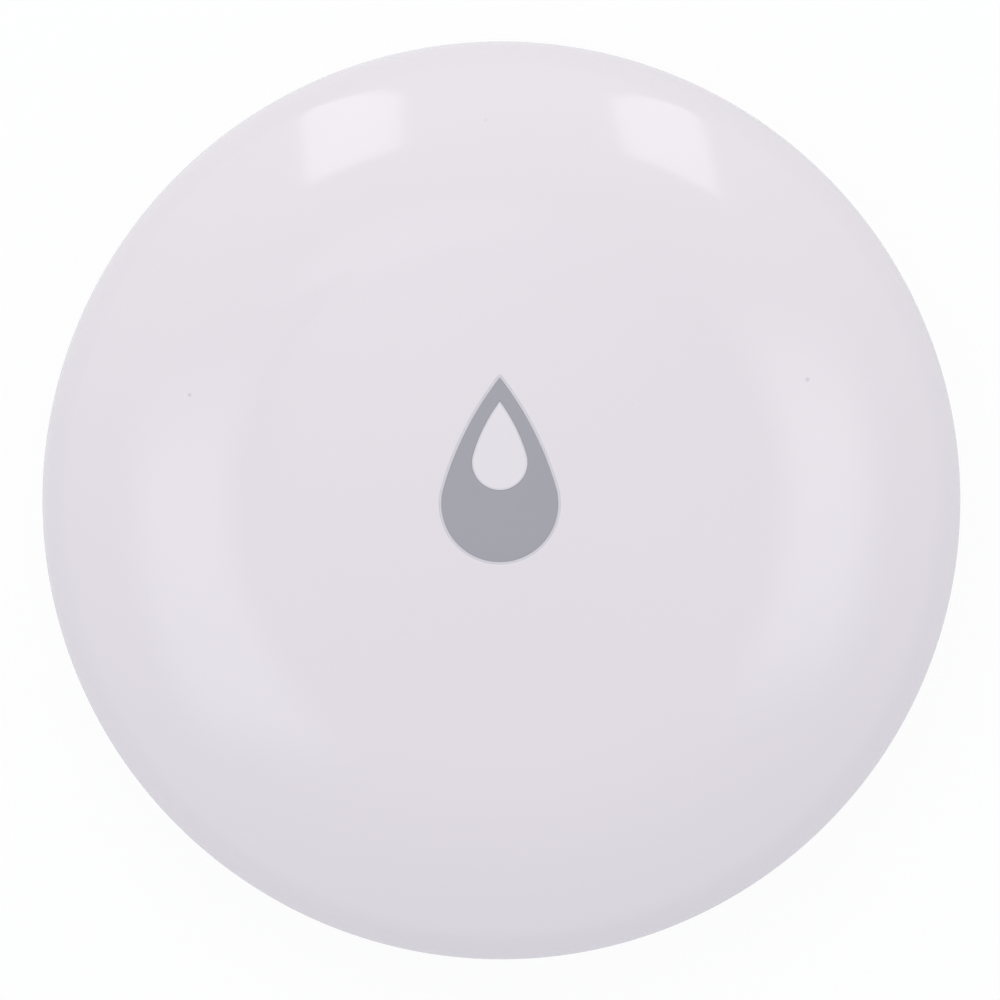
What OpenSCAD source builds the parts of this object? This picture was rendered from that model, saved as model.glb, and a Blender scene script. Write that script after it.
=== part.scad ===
// Round water leak sensor. A domed cover and a dished base close over a circuit board and
// a coin cell. Two metal probes under the base feel the water, and the drop in the middle
// of the cover is a sealed push button with a light window.
// Millimetres, +Z up. The origin is on the floor under the centre, and the drop points to +Y.

/* [Case] */
// Diameter of the case at its widest
case_d = 50; // [48:0.5:60]
// Height from the floor to the top of the crown
case_h = 15; // [14:0.25:18]
// Height of the line where the cover meets the base
rim_z = 6; // [5.5:0.1:6.4]
// Radius of the cover's edge, kept to the nearest step at which its arcs touch exactly
edge_round = 4.3; // [3.8:0.1:5]
// How much larger the radius of the cover's shoulder is
shoulder_more = 14; // [11:0.5:16]
// Radius of the base's lower edge
base_round = 3.6; // [3:0.1:4]
// Thickness of the cover
wall = 1.6; // [1.3:0.1:2]
// Thickness of the cover at its rim, round the base's tongue
rim_wall = 1.4; // [1.1:0.1:1.5]
// Thickness of the base's floor
floor_t = 1.6; // [1.4:0.1:1.8]
// Height of the base's tongue inside the cover
tongue_h = 1.8; // [1.5:0.1:2.4]
// Thickness of that tongue
tongue_t = 1.6; // [1.4:0.1:1.8]
// Gap between the tongue and the cover
tongue_gap = 0.1; // [0.05:0.05:0.2]
// Depth of the groove that shows between cover and base
reveal = 0.3; // [0.15:0.05:0.5]
// Height that the feet hold the base off the floor
stand_h = 0.6; // [0.4:0.1:1]
// Radius of the cover's bosses for the case screws
case_boss_r = 2.2; // [1.8:0.1:2.4]
// Radius of the cover's bosses for the board screws
board_boss_r = 1.8; // [1.5:0.1:2.2]

/* [Button] */
// Radius of the drop's round foot
drop_r = 3.18; // [2.8:0.02:3.4]
// Distance from the middle of the foot to the middle of each side arc, which sets the tip
drop_side = 15; // [10:0.5:17]
// Place of the middle of the foot along Y
drop_y = -0.2; // [-1:0.1:0.4]
// Radius of the light window's round foot
window_r = 1.54; // [1.3:0.02:1.7]
// Distance from the middle of that foot to the middle of each side arc
window_side = 7; // [4:0.5:8]
// Distance of the light window's foot from the drop's foot
window_rise = 2.29; // [2.2:0.01:2.5]
// Gap between the drop and the cover, which the seal's lip fills
key_gap = 0.12; // [0.08:0.02:0.2]
// How far the seal's lip stays below the surface
lip_sink = 0.05; // [0.03:0.01:0.2]
// Width of the drop's flange under the cover
key_flange_w = 0.6; // [0.4:0.1:0.8]
// Thickness of the drop's flange
key_flange_t = 0.6; // [0.4:0.1:0.8]
// Diameter of the stem that pushes the switch
stem_d = 2.4; // [2:0.1:2.6]
// Distance of the stem and the switch from the middle of the drop's foot, towards -Y
stem_back = 1.2; // [1.1:0.1:1.4]
// Thickness of the seal's film
film_t = 0.3; // [0.2:0.05:0.4]
// Radius of the seal's film
film_r = 8.6; // [8.4:0.1:9]
// Thickness of the pad inside the cover that carries the film
pad_t = 0.5; // [0.3:0.1:0.7]
// Width of the pad outside the film
pad_rim = 0.4; // [0.2:0.1:1]

/* [Battery] */
// Diameter of the coin cell
cell_d = 20; // [16:0.5:20.5]
// Height of the coin cell
cell_h = 3.2; // [2.5:0.1:3.6]
// Gap round the cell
cell_gap = 0.4; // [0.2:0.05:0.5]
// Height of the cover's seat ring under the cell
seat_h = 1.6; // [1.4:0.1:2]
// Room over the cell for its spring contact
contact_gap = 1; // [0.8:0.1:1.4]
// Thickness of the battery cover's flange
flange_t = 1.4; // [1.2:0.1:1.6]
// Height of the battery cover's skirt
skirt_h = 3; // [2.8:0.1:3.2]
// Thickness of the battery cover's skirt
skirt_t = 1.2; // [1:0.1:1.4]
// Height of the thread ridges
ridge_h = 0.6; // [0.5:0.05:0.7]
// Gap between a ridge and the wall that it faces
ridge_gap = 0.2; // [0.15:0.05:0.3]
// Number of thread starts
ridge_starts = 3; // [2:1:3]
// Advance of the thread in one turn
ridge_lead = 4.5; // [4.2:0.1:5]
// Angle that one ridge goes round
ridge_span = 90; // [60:5:100]
// Thickness of a ridge at its root
ridge_root = 0.7; // [0.6:0.05:0.75]
// Thickness of a ridge at its crest
ridge_crest = 0.45; // [0.35:0.05:0.5]
// Height of the battery cover's ridges over the ones that they bear on
ridge_bite = 0.65; // [0.6:0.01:0.7]
// Width of the flange outside the thread
flange_w = 1.8; // [1.6:0.1:2]
// Gap between the battery cover and its pocket
pocket_gap = 0.15; // [0.1:0.05:0.3]
// Thickness of the base over the battery cover's flange
ledge_t = 1.4; // [1.2:0.1:1.6]
// Thickness of the base's threaded collar
collar_t = 1.5; // [1.2:0.1:1.6]
// Width of the base between that pocket and its floor inside
bay_wall = 1.2; // [1:0.1:1.4]
// Gap between the cell and the frame that holds it
frame_gap = 0.25; // [0.15:0.05:0.4]
// Gap between that frame and the collar
frame_room = 0.4; // [0.2:0.1:0.6]
// Width of the frame's split, where the side contact stands
frame_split = 5; // [4.5:0.1:6]
// Diameter of the frame's pegs in the board
peg_d = 1.2; // [1:0.1:1.4]
// Height of the cell's cap over its crimped rim
cap_rise = 0.35; // [0.2:0.05:0.5]
// Height of the cell's cap
cap_h = 1; // [0.8:0.1:1.4]
// Width of the cell's crimped rim
crimp_w = 1.1; // [0.8:0.1:1.4]
// Width of the cell's gasket
gasket_w = 0.3; // [0.2:0.05:0.4]
// Diameter of the coin that the slot fits
coin_d = 28; // [22:1:30]
// Width of the coin slot
slot_w = 2.2; // [1.8:0.1:2.6]
// Depth of the coin slot
slot_depth = 1.2; // [0.8:0.1:1.4]
// Depth of the engraved marks
mark_depth = 0.2; // [0.1:0.05:0.3]

/* [Board] */
// Thickness of the circuit board
board_t = 1; // [0.8:0.1:1.2]
// Gap between the board and the base's tongue
board_gap = 1.3; // [0.8:0.1:1.8]
// Length of the push switch
switch_l = 4; // [3.6:0.1:4.4]
// Width of the push switch
switch_w = 3; // [2.9:0.1:3.2]
// Height of the push switch
switch_h = 1.5; // [1.4:0.1:1.8]
// Diameter of the switch's plunger
plunger_d = 1.8; // [1.6:0.1:1.9]
// How far the plunger stands out of the switch
plunger_out = 0.4; // [0.35:0.05:0.6]
// Thickness of the switch's lid
lid_t = 0.3; // [0.2:0.05:0.35]
// Thickness of the switch's floor
switch_floor = 0.3; // [0.2:0.05:0.35]
// Height of the switch's snap dome
snap_h = 0.55; // [0.5:0.05:0.6]
// Thickness of the snap dome
snap_t = 0.1; // [0.06:0.02:0.14]
// Side of the radio chip
chip_side = 6; // [5:0.5:7]
// Height of the radio chip
chip_h = 0.85; // [0.7:0.05:1]
// Length of a small part
passive_l = 1.6; // [1:0.1:2]
// Width of a small part
passive_w = 0.8; // [0.5:0.1:1]
// Height of a small part
passive_h = 0.6; // [0.4:0.1:0.8]
// Height of a crystal
crystal_h = 0.75; // [0.6:0.05:0.9]
// Height of the light
led_h = 0.6; // [0.5:0.1:0.8]
// Gap between the light and its window
led_gap = 0.8; // [0.6:0.1:1]
// Thickness of the spring contacts
leaf_t = 0.2; // [0.15:0.05:0.25]
// Width of the spring under the cell's cap
cap_leaf_w = 3; // [2:0.1:4]
// Width of the springs on the probes
probe_leaf_w = 2.4; // [1.8:0.1:3]
// Length of a spring's soldered foot
leaf_foot = 2; // [1.6:0.1:2.4]
// Length of a spring's free end past its touch
leaf_tail = 1.2; // [0.8:0.1:1.5]
// Lift of that free end
leaf_lift = 0.5; // [0.3:0.1:0.6]
// Width of the aerial's track
track_w = 0.6; // [0.4:0.1:0.8]
// Thickness of the aerial's track
track_t = 0.07; // [0.05:0.01:0.1]
// Length of one fold of the aerial
fold_l = 11; // [8:0.5:12]
// Spacing of the folds
fold_pitch = 1.5; // [1.2:0.1:1.7]
// Number of folds
fold_count = 5; // [3:1:5]

/* [Probes and feet] */
// Diameter of a probe's head
probe_head_d = 4.6; // [4:0.1:4.8]
// Thickness of a probe's head
probe_head_t = 0.8; // [0.6:0.1:1]
// Height of the probes over the floor
probe_clear = 0.25; // [0.1:0.05:0.35]
// Diameter of a probe's shank
probe_d = 2.4; // [2:0.1:2.6]
// Height of the probe's seal
probe_seal_h = 0.7; // [0.6:0.05:0.8]
// Height of a probe's nut
nut_h = 1.6; // [1.2:0.1:1.8]
// Width of a probe's nut across its flats
nut_flats = 4.5; // [4:0.1:4.6]
// How far the probe stands out of its nut
probe_end = 0.8; // [0.5:0.1:1.2]
// Diameter of a foot
foot_d = 5; // [4.6:0.1:5.2]
// Depth that a foot is let into the base
foot_sink = 0.5; // [0.3:0.1:0.6]
// How far the screw posts stand above the line where the cover meets the base
post_rise = 0.3; // [0.1:0.1:0.6]
// Width of the base round a case screw's head
post_wall = 0.9; // [0.7:0.1:1]
// Width of the base round a probe's nut
nut_wall = 0.9; // [0.7:0.1:1]
// Room between a foot and the screw's head above it
screw_room = 0.3; // [0.1:0.1:0.5]
// Diameter of a case screw's head
screw_head_d = 3.6; // [3.2:0.1:3.8]
// Height of a case screw's head
screw_head_h = 1.1; // [0.9:0.1:1.2]
// Diameter of a case screw's thread
screw_d = 1.9; // [1.6:0.1:2]
// Length of a case screw's thread
screw_l = 8; // [7:0.5:9]
// Diameter of a board screw's thread
board_screw_d = 1.5; // [1.3:0.1:1.6]
// Length of a board screw's thread
board_screw_l = 3.4; // [3:0.1:3.6]
// Diameter of a board screw's head
board_head_d = 2.7; // [2.4:0.1:3]
// Height of a board screw's head
board_head_h = 0.75; // [0.6:0.05:0.9]
// Spacing of the screws' threads
screw_pitch = 0.6; // [0.5:0.05:0.7]
// Depth of the screws' threads
screw_bite = 0.2; // [0.15:0.05:0.25]

/* [Seals] */
// Depth of the seal grooves
groove_depth = 0.7; // [0.6:0.05:0.8]
// Height of the case seal
case_seal_h = 1; // [0.85:0.05:1.1]
// Width of the battery cover's seal
cover_seal_w = 1.1; // [0.9:0.05:1.2]
// Room beside a seal in its groove
groove_room = 0.1; // [0.05:0.05:0.15]

/* [Hidden] */
$fn = 96;
// Overrun of a cut past the face that it opens
past = 1;
// Clearance between faces that touch on the real sensor
skin = 0.02;
// Clearance of a shank in its hole
hole_gap = 0.15;
// Clearance of a head in its counterbore
head_gap = 0.2;
// Clearance of a screw's tip in its blind hole
tip_gap = 0.4;
// Depth that an added ridge or peg runs into the piece that carries it
bury = 0.3;
// Bevel along the edges of small pieces
bevel = 0.3;

// Directions in which two arcs meet. Each is a right triangle with whole sides, so that the
// arcs touch exactly: 237, 3116, 3125 and 3, 4, 5 for the dome, and 7, 24, 25 for the drops.
crown_lean = [0.07584, 0.99712];
edge_lean = [0.6, 0.8];
drop_lean = [0.96, 0.28];

// Dome: a crown arc, a shoulder arc and an edge arc that run smoothly into each other.
// The crown's radius goes in steps, and takes the one that leaves about the edge asked for.
case_r = case_d / 2;
arc_step = 12.5;
crown_room = case_r - shoulder_more * edge_lean[0] - edge_round;
crown_more = arc_step * round(crown_room / (arc_step * crown_lean[0]));
shoulder_x = crown_more * crown_lean[0];
edge_x = shoulder_x + shoulder_more * edge_lean[0];
edge_r = case_r - edge_x;
shoulder_r = edge_r + shoulder_more;
crown_r = shoulder_r + crown_more;
crown_z = case_h - crown_r;
shoulder_z = crown_z + crown_more * crown_lean[1];
edge_z = shoulder_z + shoulder_more * edge_lean[1];

// Base
base_edge_z = stand_h + base_round;
flat_r = case_r - base_round;
floor_z = stand_h + floor_t;
socket_r = case_r - rim_wall;
tongue_r = socket_r - tongue_gap;
tongue_in = tongue_r - tongue_t;
tongue_z = rim_z + tongue_h;

// Battery bay, from the cell outwards
skirt_in = cell_d / 2 + cell_gap;
skirt_r = skirt_in + skirt_t;
bore_r = skirt_r + ridge_h + ridge_gap;
cover_r = bore_r + flange_w;
pocket_r = cover_r + pocket_gap;
ledge_z = stand_h + flange_t;
bay_z = ledge_z + ledge_t;
skirt_z = ledge_z + skirt_h;
base_ridge_z = ledge_z + ridge_root / 2 + ridge_gap;
cover_ridge_z = base_ridge_z + ridge_bite;
cell_z = ledge_z + seat_h;
cell_top = cell_z + cell_h;

// Board and what stands on it
board_z = cell_top + contact_gap;
board_top = board_z + board_t;
board_r = tongue_in - board_gap;
switch_y = drop_y - stem_back;
switch_top = board_top + switch_h;
plunger_top = switch_top + plunger_out;
window_y = drop_y + window_rise;
led_top = board_top + led_h;

// Button
pad_z = case_h - wall - pad_t;
pad_r = film_r + pad_rim;
flange_top = pad_z - film_t;
flange_low = flange_top - key_flange_t;

// Ring of feet, probes and screws, midway across the base's flat
ring_r = (pocket_r + flat_r) / 2;
probe_angles = [0, 180];
foot_angles = [45, 135, 225, 315];
board_screw_angles = [90, 270];
probe_head_z = probe_clear + probe_head_t;
probe_seat_z = probe_head_z + probe_seal_h;
nut_z = bay_z;
probe_top = nut_z + nut_h + probe_end;
foot_top = stand_h + foot_sink;
screw_seat_z = foot_top + screw_room + screw_head_h;
post_z = rim_z + post_rise;
post_r = screw_head_d / 2 + head_gap + post_wall;

// Marks under the base
shut_angle = 247.5;
open_angle = shut_angle - 90;
mark_d = 1.6;
mark_in = 2.6;
mark_r = cover_r - mark_in;

// Inside of the battery cover
seat_in = 3;
seat_r = cell_d / 2 - seat_in;
seat_w = 1.4;
rib_h = 1;

// Coin cell
crimp_z = cell_top - cap_rise;
cap_z = cell_top - cap_h;
crimp_r = cell_d / 2 - crimp_w;
cap_r = crimp_r - gasket_w;

// Battery frame
frame_in = cell_d / 2 + frame_gap;
frame_out = bore_r - frame_room;
frame_z = skirt_z + ridge_gap;
peg_r = (frame_in + frame_out) / 2;
peg_angles = [60, 240];

// Switch
well_room = 0.35;
well_r = plunger_d / 2 + well_room;
well_gap = 0.1;

// Places on the board, and the lengths and widths of the crystals
chip_spot = [-9.5, 2.6];
crystal_spots = [[-9.5, -4], [-4.6, 8.6]];
crystal_sizes = [[3.2, 2.5], [3.2, 1.5]];
passive_spots = [
    [-4.6, 3.4, 90], [-4.6, 1.2, 90], [-4.6, 5.6, 90], [-13.9, 0.2, 90], [-13.9, 2.6, 90],
    [-13.9, 5, 90], [-9.5, 7.2, 0], [-12, 7.2, 0], [-6, -3.2, 90], [-6, -5.6, 90],
    [-12.8, -3.2, 90], [-12.8, -5.6, 90], [4.4, 0.6, 90], [4.4, -2.2, 90], [3.4, 5.4, 0]
];
fold_in = 4.6;
fold_x = board_r - fold_in - track_w - fold_pitch * (fold_count - 1);
feed_l = 3;

// Copies a piece round the ring of feet and probes
module ring(angles) {
    for (angle = angles) rotate(angle) translate([ring_r, 0, 0]) children();
}

// Strip along the line from at in which two arcs meet, to tie their two sectors together
module lap(at, lean, length) {
    side = bevel * [lean[1], -lean[0]];
    far = at + (length - bevel) * lean;
    polygon([at + side, far + side, far - side, at - side]);
}

// Half section of the dome, drawn in from its outside by inset and down to the height low
module dome_2d(inset, low) {
    crown_at = [0, crown_z];
    shoulder_at = [shoulder_x, shoulder_z];
    edge_at = [edge_x, edge_z];
    far = 2 * arc_step;
    intersection() {
        union() {
            intersection() {
                translate(crown_at) circle(crown_r - inset);
                polygon([crown_at, shoulder_at + far * crown_lean, [0, case_h + arc_step]]);
            }
            intersection() {
                translate(shoulder_at) circle(shoulder_r - inset);
                polygon([shoulder_at, shoulder_at + far * edge_lean, shoulder_at + far * crown_lean]);
            }
            intersection() {
                translate(edge_at) circle(edge_r - inset);
                polygon([edge_at, edge_at + [far, 0], edge_at + far * edge_lean]);
            }
            lap(shoulder_at, crown_lean, shoulder_r - inset);
            lap(edge_at, edge_lean, edge_r - inset);
        }
        translate([0, low]) square([case_d, case_d]);
    }
    translate([0, low]) square([edge_x + edge_r - inset, edge_z - low]);
}

// Ball of the crown's surface, with its poles level so that its top is free of them
module crown_ball(inset) {
    translate([0, 0, crown_z]) rotate([90, 0, 0]) sphere(crown_r - inset, $fn = 256);
}

// Outline of a drop: a round foot about the origin and two side arcs that meet in a tip.
// The foot runs smoothly into the sides, and grow moves the whole outline outwards.
module drop_2d(foot_r, side, grow) {
    far = 20 * drop_lean;
    over = [[0, 0], far, [far[0], 20], [-far[0], 20], [-far[0], far[1]]];
    difference() {
        circle(foot_r + grow);
        polygon(over);
    }
    intersection() {
        translate(-side * drop_lean) circle(side + foot_r + grow);
        mirror([1, 0]) translate(-side * drop_lean) circle(side + foot_r + grow);
        polygon(over);
    }
}

module key_2d(grow) {
    translate([0, drop_y]) drop_2d(drop_r, drop_side, grow);
}

module window_2d(grow) {
    translate([0, window_y]) drop_2d(window_r, window_side, grow);
}

// Ring seal with rounded long ends, squeezed flat between the faces that it closes
module seal_ring(mid_r, mid_z, width, height) {
    round_r = min(width, height) / 2;
    side = abs(width - height) / 2;
    turn = height > width ? 90 : 0;
    rotate_extrude() translate([mid_r, mid_z]) rotate(turn) {
        square([2 * side, 2 * round_r], center = true);
        for (end = [0, 180]) rotate(end) translate([side, 0]) intersection() {
            circle(round_r);
            translate([0, -2 * round_r]) square([2 * round_r, 4 * round_r]);
        }
    }
}

// Bent strip of even thickness along a path, width wide, standing in the XZ plane
function strip_normal(path, i) =
    let (last = len(path) - 1)
    let (before = path[max(i, 1)] - path[max(i, 1) - 1])
    let (after = path[min(i, last - 1) + 1] - path[min(i, last - 1)])
    let (one = before / norm(before))
    let (two = after / norm(after))
    let (sum = one + two)
    2 * [-sum[1], sum[0]] / (sum * sum);

module leaf(path, width) {
    last = len(path) - 1;
    outline = concat(
        [for (i = [0:last]) path[i] + leaf_t / 2 * strip_normal(path, i)],
        [for (i = [0:last]) path[last - i] - leaf_t / 2 * strip_normal(path, last - i)]
    );
    rotate([90, 0, 0]) translate([0, 0, -width / 2]) linear_extrude(width) polygon(outline);
}

// Thread ridge along a helix from its root to its crest, starting at +X at the height low
module ridge(root_r, crest_r, low) {
    steps = 20;
    points = [
        for (i = [0:steps])
        let (angle = ridge_span * i / steps)
        let (rise = low + ridge_lead * angle / 360)
        for (corner = [
            [root_r, -ridge_root / 2], [crest_r, -ridge_crest / 2],
            [crest_r, ridge_crest / 2], [root_r, ridge_root / 2]
        ])
        [corner[0] * cos(angle), corner[0] * sin(angle), rise + corner[1]]
    ];
    sides = [
        for (i = [0:steps - 1])
        for (k = [0:3])
        let (a = 4 * i + k)
        let (b = 4 * i + (k + 1) % 4)
        each [[a, a + 4, b + 4], [a, b + 4, b]]
    ];
    ends = [[0, 1, 2], [0, 2, 3], [4 * steps, 4 * steps + 2, 4 * steps + 1],
        [4 * steps, 4 * steps + 3, 4 * steps + 2]];
    faces = concat(sides, ends);
    inward = crest_r < root_r;
    polyhedron(points, [for (face = faces) inward ? face : [face[0], face[2], face[1]]]);
}

module ridges(root_r, crest_r, low) {
    for (i = [0:ridge_starts - 1]) rotate(360 / ridge_starts * i) ridge(root_r, crest_r, low);
}

// Cross-head screw pointing up, the seat of its head at the origin
module screw(thread_d, length, head_d, head_h) {
    turns = floor((length - thread_d / 2) / screw_pitch);
    core = thread_d / 2 - screw_bite;
    thread = [
        for (i = [0:turns - 1])
        each [[core, screw_pitch * i], [thread_d / 2, screw_pitch * (i + 0.5)]]
    ];
    cross_l = 2 * core + bevel;
    cross_w = core / 2 + bevel / 2;
    rotate_extrude() polygon(concat(
        [[0, -head_h / 2], [core, -head_h / 2]], thread,
        [[core, screw_pitch * turns], [core / 2, length], [0, length]]
    ));
    difference() {
        union() {
            translate([0, 0, -head_h]) cylinder(d1 = head_d - 2 * bevel, d2 = head_d, h = head_h / 2);
            translate([0, 0, -head_h / 2]) cylinder(d = head_d, h = head_h / 2);
        }
        for (turn = [0, 90]) rotate(turn) translate([0, 0, -head_h])
            cube([cross_l, cross_w, head_h], center = true);
    }
}

// Domed cover with its rim socket, bosses and the opening for the drop
module top_cover() color([0.89, 0.88, 0.91]) difference() {
    case_pilot = screw_seat_z + screw_l + tip_gap;
    board_pilot = board_z + board_screw_l + tip_gap;
    rotate_extrude() difference() {
        dome_2d(0, rim_z);
        polygon([
            [case_r - reveal - past, rim_z - past], [case_r + past, rim_z - past],
            [case_r + past, rim_z + reveal + past]
        ]);
    }
    difference() {
        union() {
            rotate_extrude() dome_2d(wall, rim_z - past);
            translate([0, 0, rim_z - past])
                cylinder(r = socket_r, h = past + tongue_h + tip_gap);
        }
        ring(foot_angles) translate([0, 0, post_z]) cylinder(r = case_boss_r, h = case_h);
        ring(board_screw_angles) translate([0, 0, board_top]) cylinder(r = board_boss_r, h = case_h);
        translate([0, 0, pad_z]) cylinder(r = pad_r, h = case_h);
    }
    translate([0, 0, pad_z - past]) linear_extrude(case_h) key_2d(key_gap);
    ring(foot_angles) cylinder(r = screw_d / 2 + skin, h = case_pilot);
    ring(board_screw_angles) cylinder(r = board_screw_d / 2 + skin, h = board_pilot);
}

// Drop that is pressed: a plate flush with the crown, a flange under the cover and a stem
module drop_button() color([0.645, 0.64, 0.68]) {
    difference() {
        intersection() {
            union() {
                translate([0, 0, flange_low]) linear_extrude(case_h) key_2d(0);
                translate([0, 0, flange_low]) linear_extrude(key_flange_t) key_2d(key_flange_w);
            }
            crown_ball(0);
        }
        translate([0, 0, flange_low - past]) linear_extrude(case_h) window_2d(skin);
    }
    translate([0, switch_y, plunger_top])
        cylinder(d = stem_d, h = flange_low + key_flange_t / 2 - plunger_top);
}

// Clear inner drop that carries the light up to the surface
module light_window() color([0.86, 0.86, 0.88]) intersection() {
    translate([0, 0, led_top + led_gap]) linear_extrude(case_h) window_2d(0);
    crown_ball(0);
}

// Soft seal: a film under the cover and a lip in the gap round the drop
module button_seal() color([0.8, 0.8, 0.82]) difference() {
    union() {
        translate([0, 0, flange_top + skin]) cylinder(r = film_r, h = film_t - 2 * skin);
        intersection() {
            translate([0, 0, flange_top + skin]) linear_extrude(case_h) key_2d(key_gap - skin);
            crown_ball(lip_sink);
        }
    }
    translate([0, 0, flange_top - past]) linear_extrude(case_h) key_2d(skin);
}

// Half section of the base: floor, rounded edge and tongue
module base_2d() {
    difference() {
        union() {
            difference() {
                union() {
                    translate([0, base_edge_z]) square([case_r, rim_z - base_edge_z]);
                    translate([0, stand_h]) square([flat_r, base_round]);
                    intersection() {
                        translate([flat_r, base_edge_z]) circle(base_round);
                        translate([flat_r, stand_h - past])
                            square([base_round + past, base_round + past]);
                    }
                }
                polygon([
                    [case_r - reveal - past, rim_z + past], [case_r + past, rim_z + past],
                    [case_r + past, rim_z - reveal - past]
                ]);
            }
            translate([tongue_in - past, floor_z]) square([tongue_t + past, tongue_z - floor_z]);
        }
        translate([-past, floor_z]) square([tongue_in + past, case_h]);
    }
}

// Dished base with the battery bay, its threaded collar, screw posts and probe seats
module base() color([0.87, 0.86, 0.89]) {
    seal_z = rim_z + tongue_h / 2;
    groove_h = case_seal_h + 2 * groove_room;
    bay_r = pocket_r + bay_wall;
    nut_boss_r = nut_flats / 2 + nut_wall;
    difference() {
        union() {
            rotate_extrude() base_2d();
            translate([0, 0, floor_z - bury]) cylinder(r = bay_r, h = bay_z - floor_z + bury);
            translate([0, 0, floor_z]) cylinder(r = bore_r + collar_t, h = skirt_z - floor_z);
            ring(foot_angles) translate([0, 0, floor_z - bury])
                cylinder(r = post_r, h = post_z - floor_z + bury);
            ring(probe_angles) translate([0, 0, floor_z - bury])
                cylinder(r = nut_boss_r, h = bay_z - floor_z + bury);
        }
        translate([0, 0, stand_h - past]) cylinder(r = pocket_r, h = flange_t + past);
        translate([0, 0, stand_h]) cylinder(r = bore_r, h = case_h);
        rotate_extrude() translate([tongue_r - groove_depth, seal_z - groove_h / 2])
            square([groove_depth + past, groove_h]);
        ring(foot_angles) {
            cylinder(d = foot_d + head_gap, h = foot_top);
            cylinder(d = screw_head_d + 2 * head_gap, h = screw_seat_z);
            cylinder(d = screw_d + 2 * hole_gap, h = case_h);
        }
        ring(probe_angles) {
            cylinder(d = probe_head_d + 2 * head_gap, h = probe_seat_z);
            cylinder(d = probe_d + 2 * hole_gap, h = case_h);
        }
        for (angle = [shut_angle, open_angle]) rotate(angle) translate([bay_r, 0, stand_h - past])
            cylinder(d = mark_d, h = past + mark_depth);
    }
    rotate(open_angle) translate([bay_r, 0, stand_h]) cylinder(d = mark_d / 2, h = mark_depth + bury);
    ridges(bore_r + bury, bore_r - ridge_h, base_ridge_z);
}

// Ring seal in the tongue's groove, squeezed against the cover's rim
module case_seal() color([0.25, 0.25, 0.27]) {
    inside = tongue_r - groove_depth + skin;
    outside = socket_r - skin;
    seal_ring((inside + outside) / 2, rim_z + tongue_h / 2, outside - inside, case_seal_h);
}

// Screw-in battery cover with a coin slot outside and a seat for the cell inside
module battery_cover() color([0.86, 0.85, 0.88]) difference() {
    inner_z = ledge_z - bury;
    seal_r = (bore_r + cover_r) / 2;
    groove_w = cover_seal_w + 2 * groove_room;
    union() {
        translate([0, 0, stand_h]) cylinder(r1 = cover_r - bevel, r2 = cover_r, h = bevel);
        translate([0, 0, stand_h + bevel]) cylinder(r = cover_r, h = flange_t - bevel - skin);
        translate([0, 0, inner_z]) difference() {
            cylinder(r = skirt_r, h = skirt_z - inner_z);
            cylinder(r = skirt_in, h = case_h);
        }
        translate([0, 0, inner_z]) difference() {
            cylinder(r = seat_r + seat_w / 2, h = cell_z - skin - inner_z);
            cylinder(r = seat_r - seat_w / 2, h = case_h);
        }
        translate([-seat_r, -slot_w, inner_z]) cube([2 * seat_r, 2 * slot_w, rib_h + bury]);
        ridges(skirt_r - bury, skirt_r + ridge_h, cover_ridge_z);
    }
    rotate_extrude() translate([seal_r - groove_w / 2, ledge_z - skin - groove_depth])
        square([groove_w, groove_depth + skin]);
    translate([0, 0, stand_h + slot_depth - coin_d / 2]) rotate([90, 0, 0])
        cylinder(d = coin_d, h = slot_w, center = true);
    translate([0, 0, stand_h - past]) linear_extrude(past + mark_depth) {
        rotate(shut_angle) polygon([
            [cover_r - mark_d / 2, 0], [mark_r, mark_d / 2], [mark_r, -mark_d / 2]
        ]);
        rotate(shut_angle + 180) turn_arrow_2d();
    }
}

// Curved arrow that shows the way to open
module turn_arrow_2d() {
    reach = 36;
    far = 2 * cover_r;
    line_w = mark_d / 2;
    intersection() {
        difference() {
            circle(mark_r + line_w / 2);
            circle(mark_r - line_w / 2);
        }
        polygon([[0, 0], far * [cos(reach), -sin(reach)], [far, 0], far * [cos(reach), sin(reach)]]);
    }
    rotate(-reach) polygon([[mark_r - line_w, 0], [mark_r + line_w, 0], [mark_r, -mark_d]]);
}

module battery_cover_seal() color([0.25, 0.25, 0.27]) {
    mid_z = ledge_z - skin - groove_depth / 2;
    seal_ring((bore_r + cover_r) / 2, mid_z, cover_seal_w, groove_depth - 2 * skin);
}

// Coin cell: can with its crimped rim, sealing gasket and cap
module coin_cell_can() color([0.72, 0.73, 0.74]) rotate_extrude() polygon([
    [0, cell_z], [cell_d / 2 - bevel, cell_z], [cell_d / 2, cell_z + bevel],
    [cell_d / 2, crimp_z - bevel], [cell_d / 2 - bevel, crimp_z], [crimp_r, crimp_z],
    [crimp_r, cap_z], [0, cap_z]
]);

module coin_cell_gasket() color([0.5, 0.45, 0.36]) translate([0, 0, cap_z]) difference() {
    cylinder(r = crimp_r, h = crimp_z - cap_z);
    translate([0, 0, -past]) cylinder(r = cap_r, h = cell_h);
}

module coin_cell_cap() color([0.75, 0.76, 0.77]) translate([0, 0, cap_z]) {
    cylinder(r = cap_r, h = cap_h - bevel);
    translate([0, 0, cap_h - bevel]) cylinder(r1 = cap_r, r2 = cap_r - bevel, h = bevel);
}

// Open ring that holds the cell, pegged to the board
module battery_frame() color([0.16, 0.16, 0.17]) {
    difference() {
        translate([0, 0, frame_z]) cylinder(r = frame_out, h = board_z - frame_z);
        translate([0, 0, frame_z - past]) cylinder(r = frame_in, h = case_h);
        translate([-frame_split / 2, -frame_out - past, frame_z - past])
            cube([frame_split, frame_out, case_h]);
    }
    for (angle = peg_angles) rotate(angle) translate([peg_r, 0, board_z - bury])
        cylinder(d = peg_d, h = board_t + 2 * bury);
}

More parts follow.
